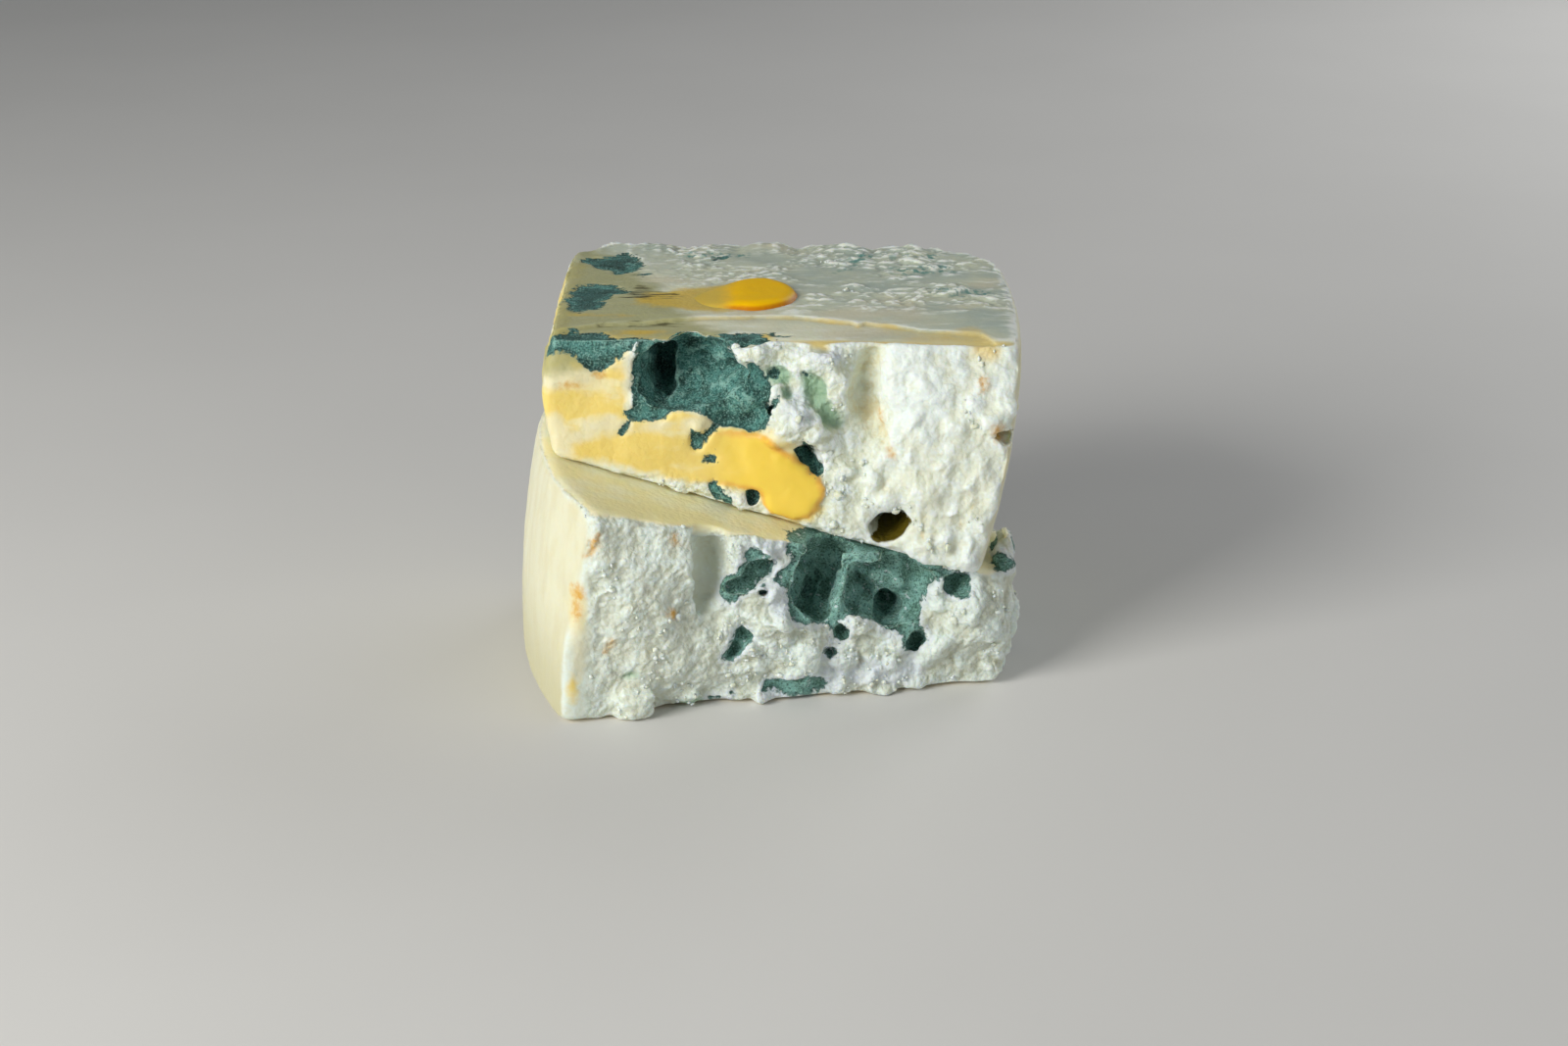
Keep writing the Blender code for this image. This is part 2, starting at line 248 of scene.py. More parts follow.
LOWER_FRONT_PATCHES = {
    "mould": [
        (CAVE, 16.0), (LOWER_OVAL, 5.0), (SMALL_OVAL, 5.0), (FOOT_MOULD, 3.0), (SEAM_MOULD, 4.0),
        (oval(6.4, 6.7, 0.55, 0.7), 3.0), (oval(-2.9, 16.9, 0.45, 0.4), 2.0),
        (oval(-2.5, 18.2, 0.3, 0.4), 2.0), (oval(-9.6, 0.8, 1.0, 0.5), 2.0),
        (oval(-7.4, 1.8, 0.6, 0.3), 2.0), (oval(30.5, 18.4, 1.6, 1.4), 8.0),
    ],
    "green": [
        (oval(8.3, 20.3, 1.6, 1.3), 6.0), (oval(-20.8, 5.8, 1.4, 0.4, 14.0), 3.0), (oval(-13.5, 0.8, 2.4, 0.6), 2.0),
    ],
    "ripe": [(oval(-27.6, 16.0, 0.7, 3.0, 4.0), 3.0), (oval(-28.6, 4.6, 0.3, 1.8), 3.0)],
    "frost_and_painted_light": [
        (oval(6.6, 3.0, 1.7, 2.4), 3.0), (oval(-0.4, 15.6, 1.6, 3.0), 3.0), (oval(-1.5, 22.6, 2.4, 2.0), 3.0),
        # The wide oval at (14, 3) is painted light: it pales the shade on the curved foot
        (oval(0.0, 1.0, 4.0, 1.0), 3.0), (oval(14.0, 3.0, 6.0, 1.8), 3.0),
    ],
    "pale": [(oval(-27.6, 13.0, 1.0, 7.0), 3.0)],
    "orange": [
        (oval(-27.4, 18.8, 0.5, 1.0, 5.0), 3.0), (oval(-27.8, 16.4, 0.15, 1.0), 3.0),
        (oval(-25.2, 25.6, 0.3, 1.8, -30.0), 3.0), (oval(-15.1, 14.5, 0.3, 0.5), 3.0),
        (oval(-14.5, 25.4, 0.1, 0.5), 3.0), (oval(-23.4, 10.6, 0.1, 0.7, -20.0), 3.0),
    ],
    "olive": [],
    "smooth": [(TROUGH, 6.0), ([(-31.5, 0.0), (-31.5, 28.0), (-26.8, 26.0), (-26.0, 14.0), (-26.6, 1.0)], 2.0)],
}
UPPER_TOP_PATCHES = {
    "mould": [
        TOP_MOULD_BACK, TOP_MOULD_LEFT, TOP_MOULD_CORNER, TOP_MOULD_RIM, oval(-0.6, 4.6, 1.4, 0.7),
        oval(-9.0, 39.4, 1.0, 0.8), oval(-20.6, 31.0, 1.0, 0.5),
    ],
    "green": [],
    "tint": [
        TOP_STREAK, oval(20.0, 33.0, 6.0, 2.0), oval(-10.0, 41.0, 5.0, 2.0), oval(25.0, 22.0, 5.0, 1.6),
        oval(20.0, 40.0, 4.0, 2.0),
    ],
    "ripe": [oval(-2.8, 4.4, 1.4, 0.9), oval(-15.0, 4.6, 1.2, 0.6), [(-34.0, 6.0), (-29.6, 8.0), (-29.4, 34.0), (-34.0, 38.0)]],
    "frost_and_painted_light": [],
    "orange": [],
    "olive": [],
    "smooth": [],
    "film": [TONGUE_FILM, oval(-21.0, 5.4, 5.0, 1.2, 10.0), oval(-25.0, 12.5, 4.0, 0.4), oval(-13.0, 4.0, 7.0, 0.4)],
    "fibre": [oval(-19.4, 21.2, 4.6, 1.5, -6.0), oval(-20.4, 24.2, 0.3, 1.5), oval(-19.0, 9.0, 6.0, 0.3, 4.0)],
    "pale": [oval(-23.4, 20.4, 1.4, 0.5)],
    # Painted shade: the left part of the top is darkened to olive, as if the light fell off there
    "painted_left_shade": [[(-37.0, -5.0), (-10.0, -5.0), (-6.0, 4.0), (-12.0, 12.0), (-16.0, 22.0), (-21.0, 34.0), (-26.0, 44.0),
               (-37.0, 48.0)]],
}
# kind: (centre, radii) of patches on the sides and back, in all three directions
UPPER_SIDE_PATCHES = {
    "mould": [
        ((-12.0, 46.0, 38.0), (4.0, 5.0, 3.2)), ((10.0, 47.0, 31.0), (5.2, 5.0, 3.8)),
        ((-22.0, 46.0, 44.0), (2.4, 4.0, 2.0)), ((22.0, 46.0, 41.0), (2.6, 4.0, 1.6)),
        ((2.0, 47.0, 44.0), (2.0, 4.0, 1.4)), ((-32.6, 34.0, 42.0), (3.0, 4.4, 2.6)),
        ((-32.6, 16.0, 39.0), (2.0, 2.0, 1.6)), ((18.0, 46.0, 24.0), (2.0, 4.0, 1.4)),
    ],
    "ripe": [((-32.4, 21.0, 43.0), (4.4, 19.0, 8.4))],
    "orange": [((-33.0, 12.0, 42.0), (1.0, 3.4, 0.5))],
    "frost_and_painted_light": [((12.0, 47.0, 36.0), (4.0, 4.0, 2.4)), ((-14.0, 46.0, 34.0), (4.0, 4.0, 2.4))],
}
LOWER_SIDE_PATCHES = {
    "mould": [
        ((-16.0, 40.0, 18.0), (5.2, 5.0, 3.6)), ((8.0, 41.0, 12.0), (4.0, 5.0, 3.0)),
        ((20.0, 42.0, 9.0), (2.0, 4.0, 1.6)), ((-4.0, 40.0, 7.0), (2.2, 4.0, 1.4)),
        ((31.0, 20.0, 9.0), (4.0, 5.0, 3.2)), ((31.5, 7.0, 17.0), (2.4, 3.4, 2.2)),
        ((31.0, 34.0, 12.0), (3.0, 2.6, 2.0)),
    ],
    "ripe": [],
    "orange": [],
    "frost_and_painted_light": [((31.0, 14.0, 6.0), (3.0, 4.0, 3.0)), ((2.0, 41.0, 15.0), (5.0, 4.0, 3.0))],
}
KINDS = (
    "mould", "green", "ripe", "pale", "frost_and_painted_light", "orange", "olive", "smooth", "honey", "film", "fibre", "tint", "painted_left_shade",
)

# Lumps joined to a slice before it is remeshed: centre, radii, turn about Y
UPPER_LUMPS = [
    ((-5.6, 8.4, 41.4), (6.4, 8.2, 5.4), 0.0),
    ((-7.6, 8.6, 45.4), (7.4, 8.2, 4.6), 0.0),
    ((-12.6, 9.0, 40.6), (5.4, 8.8, 3.6), 0.0),
    ((-15.4, 3.2, 38.8), (3.4, 2.8, 2.0), 0.0),
    ((-10.6, 3.4, 39.2), (3.6, 3.0, 2.4), 0.0),
    ((-6.0, 3.4, 41.2), (3.8, 3.0, 3.4), 0.0),
    ((-4.4, 3.6, 44.8), (2.6, 2.8, 3.0), 0.0),
    ((-16.8, 1.5, 40.5), (2.2, 0.9, 0.6), 8.0),
    ((-12.6, 1.4, 39.9), (2.6, 0.9, 0.6), 0.0),
    ((-8.8, 1.6, 41.1), (2.4, 0.9, 0.6), -24.0),
    ((-6.0, 2.0, 44.0), (2.2, 0.9, 0.6), -60.0),
    ((-4.6, 1.7, 47.5), (2.6, 1.5, 1.5), 0.0),
    ((1.8, -1.0, 38.6), (3.4, 1.9, 3.0), 20.0),
    ((-1.1, -0.3, 42.2), (1.2, 1.1, 1.8), 0.0),
    ((-0.4, -1.2, 36.9), (2.2, 1.6, 1.4), 0.0),
    ((4.8, -1.0, 36.3), (2.0, 1.4, 1.4), 0.0),
    ((4.6, 0.3, 46.9), (2.6, 1.2, 1.8), 0.0),
    ((7.0, 0.2, 42.4), (2.4, 1.3, 3.8), -8.0),
]
LOWER_LUMPS = [
    ((-4.6, -5.4, 20.0), (3.6, 1.9, 2.4), 0.0),
    ((-7.4, -6.4, 17.0), (2.4, 1.9, 2.2), 0.0),
    ((-6.4, -6.6, 9.4), (2.6, 1.3, 2.0), 0.0),
    ((15.6, 3.6, 15.6), (7.4, 5.4, 6.4), 0.0),
    ((7.4, -3.8, 14.4), (0.9, 2.4, 4.6), 8.0),
    ((0.7, -7.4, 18.6), (1.1, 1.1, 1.8), 0.0),
    ((9.6, -5.3, 11.2), (2.6, 1.4, 1.3), -10.0),
    ((8.5, -4.6, 19.9), (1.5, 1.4, 1.3), 0.0),
    ((-21.0, -12.4, 2.4), (3.8, 1.9, 2.8), 0.0),
    ((-26.6, -12.4, 2.6), (3.6, 1.4, 2.8), 0.0),
    ((-27.0, -12.0, 8.0), (2.4, 1.2, 2.4), 0.0),
    ((25.5, -3.0, 10.6), (4.4, 2.2, 4.6), 0.0),
    ((-1.4, -8.2, 12.4), (2.4, 1.4, 2.0), 0.0),
    ((3.4, -7.2, 7.6), (2.4, 1.4, 2.6), 0.0),
    ((-12.8, -10.4, 22.4), (1.0, 1.2, 4.6), 0.0),
]
# Hollows cut from a slice, besides those that its solid has
UPPER_CUTS = [
    ((-12.4, 1.0, 44.8), (7.2, 8.4, 4.4), -12.0),
    ((-16.6, 7.0, 44.0), (1.9, 6.6, 4.3), -8.0),
    ((29.8, -2.6, 37.4), (1.7, 3.0, 1.2), 20.0),
    ((-4.3, -2.6, 28.3), (0.9, 2.2, 0.9), 0.0),
    ((3.3, -1.2, 33.4), (2.4, 4.6, 1.0), 48.0),
    ((-21.6, -1.4, 37.3), (0.5, 1.6, 1.1), -30.0),
    ((-11.4, -1.6, 35.8), (0.9, 1.5, 1.6), 20.0),
    ((-1.9, 0.0, 40.0), (0.4, 2.0, 1.5), -30.0),
    ((-22.6, 48.6, 48.2), (1.6, 3.0, 2.4), 0.0),
    ((-12.0, 47.6, 38.0), (3.2, 3.6, 2.4), 10.0),
    ((10.0, 47.8, 31.0), (4.4, 4.4, 3.0), -15.0),
    ((2.0, 47.4, 44.0), (1.6, 2.4, 1.0), 0.0),
    ((22.0, 46.6, 41.0), (2.0, 2.6, 1.1), 20.0),
    ((-33.2, 34.0, 42.0), (1.8, 3.0, 1.8), 0.0),
    ((14.6, 2.0, 24.4), (2.4, 7.0, 1.6), -20.0),
]
LOWER_CUTS = [
    ((6.4, -7.0, 6.8), (0.55, 2.2, 0.7), 0.0),
    ((-2.9, -9.0, 16.9), (0.4, 1.4, 0.4), 0.0),
    ((14.4, -0.4, 11.4), (2.0, 5.4, 2.1), 0.0),
    ((10.0, -2.6, 15.4), (1.1, 3.4, 1.4), 0.0),
    ((18.2, -4.4, 7.6), (1.2, 2.2, 1.3), 0.0),
    ((8.0, -6.6, 10.0), (0.9, 2.4, 1.1), 0.0),
    ((3.6, -3.0, 15.2), (1.6, 4.0, 3.2), 20.0),
    ((23.8, -3.4, 15.8), (2.0, 2.6, 1.0), 12.0),
    ((-16.0, 41.0, 18.0), (4.2, 4.6, 2.8), 15.0),
    ((8.0, 42.4, 12.0), (3.0, 4.0, 2.2), -10.0),
    ((-4.0, 41.2, 7.0), (1.6, 2.6, 1.0), 0.0),
    ((31.8, 20.0, 9.0), (2.6, 4.0, 2.2), 0.0),
    ((31.4, 34.0, 12.0), (2.0, 1.8, 1.3), 0.0),
]


# --- Relief -----------------------------------------------------------------------------------


def soft_noise(places, size, seed, octaves=3, stretch=(1.0, 1.0, 1.0)):
    """Noise of about -1 to 1 whose waves are so many millimetres long."""
    scaled = places / (size * np.array(stretch)) + seed
    return np.array([noise.fractal(p, 0.9, 2.0, octaves) for p in scaled.tolist()])


def billows(places, size, seed, octaves=4, stretch=(1.0, 1.0, 1.0)):
    """Rounded lumps with creases between them: 0 in a crease, about 1 on a high lump."""
    scaled = places / (size * np.array(stretch)) + seed
    found = [noise.turbulence(p, octaves, True, amplitude_scale=0.55, frequency_scale=2.1) for p in scaled.tolist()]
    return np.array(found) / np.percentile(found, 96)


def leaning(places, angle):
    """The places turned about Y, so that what runs along Z there leans right by this angle."""
    c, s = math.cos(math.radians(angle)), math.sin(math.radians(angle))
    x, y, z = places.T
    return np.stack([x * c - z * s, y, x * s + z * c], 1)


def drift(places, size, reach, seed):
    """Moves that let shapes lose their straight and round edges."""
    scaled = places / size + seed
    return reach * np.array([noise.noise_vector(p) for p in scaled.tolist()])


def arrays(mesh):
    """Places and normals of a mesh's points, as arrays."""
    count = len(mesh.vertices)
    places, normals = np.empty(count * 3), np.empty(count * 3)
    mesh.vertices.foreach_get("co", places)
    mesh.vertex_normals.foreach_get("vector", normals)
    return places.reshape(-1, 3), normals.reshape(-1, 3)


def edge_array(mesh):
    ends = np.empty(len(mesh.edges) * 2, np.int32)
    mesh.edges.foreach_get("vertices", ends)
    return ends.reshape(-1, 2)


def relaxed(values, edges, rounds):
    """Values on a mesh's points, each drawn towards its neighbours' mean so many times."""
    count = len(values)
    a, b = edges[:, 0], edges[:, 1]
    degree = np.maximum(np.bincount(a, minlength=count) + np.bincount(b, minlength=count), 1)
    flat = values.reshape(count, -1).copy()
    for _ in range(rounds):
        for k in range(flat.shape[1]):
            column = flat[:, k]
            near = np.bincount(a, column[b], count) + np.bincount(b, column[a], count)
            flat[:, k] = 0.5 * column + 0.5 * near / degree
    return flat.reshape(values.shape)


def store(mesh, name, values):
    attribute = mesh.attributes.get(name) or mesh.attributes.new(name, "FLOAT", "POINT")
    attribute.data.foreach_set("value", np.ascontiguousarray(values, np.float32))


def ball_depth(places, centre, radii):
    """Roughly how far inside an oval ball each place lies, in millimetres."""
    r = np.linalg.norm((places - np.array(centre)) / np.array(radii), axis=1)
    return np.clip((1.0 - r) * min(radii), -3.0, 3.0)


def seam(x):
    return SEAM_HEIGHT + SEAM_SLOPE * x


def block_top(x):
    return BLOCK_HEIGHT


def upper_front(places):
    x, z = places[:, 0], places[:, 2]
    return 1.8 - 0.05 * x - 0.17 * (BLOCK_HEIGHT - z)


def lower_front(places):
    return -7.5 + 0.19 * places[:, 0]


def patch_depths(places, normals, rind, front, slope, fronts, tops, sides, seed):
    """For each kind of patch, how far inside one of its patches each place lies.

    What is drawn on the front runs back into a hollow along a line that falls by the slope.
    Behind the front, veins of mould wander between the patches, and the rind has none.
    """
    x, y, z = places.T
    wandering = places + drift(places, 6.0, 3.2, seed + 3.0) + drift(places, 2.0, 0.9, seed + 5.0)
    torn = places + drift(places, 2.4, 1.0, seed + 9.0)
    behind = y - front(places)
    height = z + slope * behind
    on_top = (normals[:, 2] > 0.6) & (z > TOP_LINE)
    depths = {}
    for kind in KINDS:
        depth = np.full(len(places), -3.0)
        for outline, reach in fronts.get(kind, ()):
            here = depth_inside(outline, x, height)
            here = np.minimum(here, reach - behind)
            depth = np.maximum(depth, np.where(on_top, -3.0, here))
        for outline in tops.get(kind, ()):
            here = depth_inside(outline, *torn.T[:2])
            depth = np.maximum(depth, np.where(on_top, here, -3.0))
        for centre, radii in sides.get(kind, ()):
            depth = np.maximum(depth, ball_depth(wandering, centre, radii))
        depths[kind] = np.clip(depth, -3.0, 3.0)
    veins = 0.5 - 12.0 * np.abs(soft_noise(wandering, 11.0, seed + 17.0, 2))
    veins += 2.0 * np.minimum(soft_noise(places, 15.0, seed + 19.0, 2) - 0.2, 0.3)
    veined = (behind > 7.0) & ~on_top & (np.abs(normals[:, 2]) < 0.7)
    depths["mould"] = np.maximum(depths["mould"], np.where(veined, np.clip(veins, -3.0, 3.0), -3.0))
    depths["mould"] -= 6.0 * rind
    return depths


# --- The slices -------------------------------------------------------------------------------


def add_blob(bm, centre, radii, turn, seed, detail=3, lumpy=0.22, lid=None):
    """A lumpy ball joined to a mesh, and cut off level with the lid if its middle is below that."""
    made = bmesh.ops.create_icosphere(bm, subdivisions=detail, radius=1.0)["verts"]
    offset = Vector((seed * 3.1, seed * 1.7, -seed * 2.3))
    for vert in made:
        swell = 1.0 + lumpy * noise.fractal(vert.co * 1.6 + offset, 0.9, 2.0, 2)
        vert.co = Vector(c * r * swell for c, r in zip(vert.co, radii))
    bmesh.ops.rotate(bm, matrix=Matrix.Rotation(math.radians(turn), 3, "Y"), verts=made)
    bmesh.ops.translate(bm, vec=Vector(centre), verts=made)
    for vert in made:
        if lid and centre[2] < lid(centre[0]) - 1.5:
            vert.co.z = min(vert.co.z, lid(vert.co.x) - 0.15)


def scratch_object(name, bm):
    mesh = bpy.data.meshes.new(name)
    bm.to_mesh(mesh)
    bm.free()
    made = bpy.data.objects.new(name, mesh)
    bpy.context.scene.collection.objects.link(made)
    return made


def applied(obj):
    """The object's mesh with its modifiers, which the object then wears without them."""
    graph = bpy.context.evaluated_depsgraph_get()
    mesh = bpy.data.meshes.new_from_object(obj.evaluated_get(graph))
    old = obj.data
    obj.modifiers.clear()
    obj.data = mesh
    bpy.data.meshes.remove(old)
    return mesh


def crumbled(obj, front, bare, seed, count):
    """Lumps of curd joined all over a slice's broken faces, but not on the outlines kept bare."""
    rng = random.Random(seed)
    bm = bmesh.new()
    bm.from_mesh(obj.data)
    tree = BVHTree.FromBMesh(bm)
    low = Vector(min(v.co[k] for v in bm.verts) for k in range(3))
    high = Vector(max(v.co[k] for v in bm.verts) for k in range(3))
    for k in range(count):
        spot = Vector(rng.uniform(low[i], high[i]) for i in range(3))
        back = rng.random() < 0.45
        start = Vector((spot.x, high.y + 5.0 if back else low.y - 5.0, spot.z))
        hit, normal, _, _ = tree.ray_cast(start, Vector((0.0, -1.0 if back else 1.0, 0.0)))
        size = rng.uniform(0.7, 1.7)
        radii = Vector(size * rng.uniform(0.7, 1.3) for _ in range(3))
        turn = rng.uniform(0.0, 180.0)
        if hit is None or abs(normal.y) < 0.7 or hit.z > 46.0:
            continue
        if not back and (hit.y > front(np.array([hit]))[0] + 2.2 or hit.x < -14.0):
            continue
        place = np.array(hit)
        if not back and any(depth_inside(outline, place[:1], place[2:])[0] > -1.4 for outline in bare):
            continue
        add_blob(bm, hit - normal * size * 0.35, radii, turn, k, 2, 0.3)
    bm.to_mesh(obj.data)
    bm.free()


def raw_slice(node, name, lumps, cuts, front, lid, bare, seed):
    """A finely meshed copy of a slice's solid, in millimetres from the datum."""
    bm = bmesh.new()
    bm.from_mesh(frame["nodes"][node].data)
    bmesh.ops.remove_doubles(bm, verts=bm.verts, dist=1e-6)
    bmesh.ops.transform(bm, matrix=Matrix.Translation(-DATUM), verts=bm.verts)
    bmesh.ops.scale(bm, vec=Vector((1 / MM, 1 / MM, 1 / MM)), verts=bm.verts)
    for k, (centre, radii, turn) in enumerate(lumps):
        add_blob(bm, centre, radii, turn, k + seed, lid=lid)
    made = scratch_object(name, bm)
    crumbled(made, front, bare, seed, 260)

    remesh = made.modifiers.new("remesh", "REMESH")
    remesh.mode = "VOXEL"
    remesh.voxel_size = 0.5
    smooth = made.modifiers.new("smooth", "SMOOTH")
    smooth.iterations = 3
    applied(made)

    bm = bmesh.new()
    for k, (centre, radii, turn) in enumerate(cuts):
        add_blob(bm, centre, radii, turn, k + seed + 50)
    cutter = scratch_object(name + "_cuts", bm)
    cut = made.modifiers.new("cut", "BOOLEAN")
    cut.operation = "DIFFERENCE"
    cut.solver = "EXACT"
    cut.use_self = True
    cut.object = cutter
    remesh = made.modifiers.new("remesh", "REMESH")
    remesh.mode = "VOXEL"
    remesh.voxel_size = VOXEL
    smooth = made.modifiers.new("smooth", "SMOOTH")
    smooth.iterations = 4
    applied(made)
    bpy.data.objects.remove(cutter)
    return made


def face_weights(places, normals, edges, upper):
    """How far each place belongs to a knife-cut face and to the rind, from its smoothed normal."""
    soft = relaxed(normals, edges, 16)
    soft /= np.maximum(np.linalg.norm(soft, axis=1, keepdims=True), 1e-6)
    x, y, z = places.T
    if upper:
        cut = step(0.72, 0.9, soft[:, 2]) * step(47.6, 48.6, z)
        cut = np.maximum(cut, step(-0.8, -0.92, soft[:, 2]) * step(3.0, 1.5, z - seam(x)))
        rind = step(0.55, 0.8, soft[:, 0]) * step(26.0, 28.0, x)
        thin = step(-0.6, -0.8, soft[:, 0]) * step(-29.0, -31.0, x)
    else:
        cut = step(0.8, 0.92, soft[:, 2]) * step(3.0, 1.5, seam(x) - z)
        cut = np.maximum(cut, step(-0.8, -0.92, soft[:, 2]) * step(2.0, 1.0, z))
        rind = step(-0.5, -0.75, soft[:, 0]) * step(-24.0, -27.0, x)
        thin = np.zeros(len(x))
    return cut, rind, thin, soft


def strip_edge(x):
    """How far back the lower-lying strip along the top's front edge reaches."""
    line = np.array(STRIP_EDGE)
    return np.interp(x, line[:, 0], line[:, 1])


def front_relief(places, upper, seed):
    """The curd of a broken face: puffy clumps, upright folds at the upper right, slanted grain at the lower left."""
    x, _, z = places.T
    wavy = places + drift(places, 3.0, 0.8, seed)
    grains = 0.11 * soft_noise(wavy, 0.8, seed + 5.0, 3)
    clumps = 0.2 * (billows(wavy, 2.2, seed, 3) - 0.45) + 0.14 * soft_noise(wavy, 2.4, seed + 2.0, 3)
    if upper:
        grains *= 1.0 - 0.5 * step(4.0, 12.0, x)
        clumps += 0.5 * (billows(wavy, 4.4, seed + 3.0, 2) - 0.45) * step(9.0, 5.0, x)
        strands = 0.26 * soft_noise(leaning(wavy, 4.0), 1.9, seed + 9.0, 3, (0.8, 1.2, 2.8))
        strands += 0.14 * soft_noise(wavy, 3.4, seed + 7.0, 2)
        share = 0.9 * step(6.0, 12.0, x)
        valley = np.exp(-((x - 10.7 - 0.055 * (z - 42.7) ** 2) / 1.5) ** 2) * step(34.0, 37.0, z)
        bulge = np.exp(-((x - 17.5) / 5.0) ** 2) * step(35.0, 40.0, z)
        grains += 0.5 * bulge - 0.9 * valley
    else:
        clumps += 0.9 * (billows(wavy, 5.6, seed + 3.0, 2) - 0.45) * step(-9.0, -3.0, x)
        slanted = leaning(wavy, 42.0)
        strands = 0.2 * soft_noise(slanted, 1.1, seed + 9.0, 3, (0.8, 1.2, 2.6))
        strands += 0.12 * (billows(slanted, 0.9, seed + 12.0, 2, (0.8, 1.2, 2.6)) - 0.45)
        share = 0.9 * step(-4.0, -14.0, x)
    return clumps * (1.0 - share) + strands * share + grains


def top_relief(places, seed):
    """The knife-cut top: smooth to the left, torn into flakes along X to the back and right."""
    x, y, _ = places.T
    patchy = soft_noise(places, 8.0, seed + 8.0, 3, (1.4, 1.0, 1.0))
    ragged = step(-18.0, 4.0, x + 0.6 * (y - 20.0)) * step(12.0, 20.0, y) * step(-0.55, 0.35, patchy)
    ragged *= step(-0.5, -2.5, depth_inside(TONGUE, x, y))
    flakes = billows(places + drift(places, 4.0, 1.6, seed), 2.6, seed, 3, (1.9, 1.0, 2.0)) - 0.4
    flakes += 0.25 * soft_noise(places, 0.8, seed + 3.0, 3, (1.5, 1.0, 1.0))
    strokes = soft_noise(places, 1.0, seed + 4.0, 2, (8.0, 0.9, 2.0))
    swell = soft_noise(places, 7.0, seed + 6.0, 2, (1.6, 1.0, 1.0))
    brink = soft_noise(places * np.array((1.0, 0.0, 0.0)), 6.0, seed + 5.0, 3) * step(38.0, 46.0, y)
    return (0.05 + 0.75 * ragged) * flakes + 0.03 * strokes + 0.16 * swell + 0.8 * brink


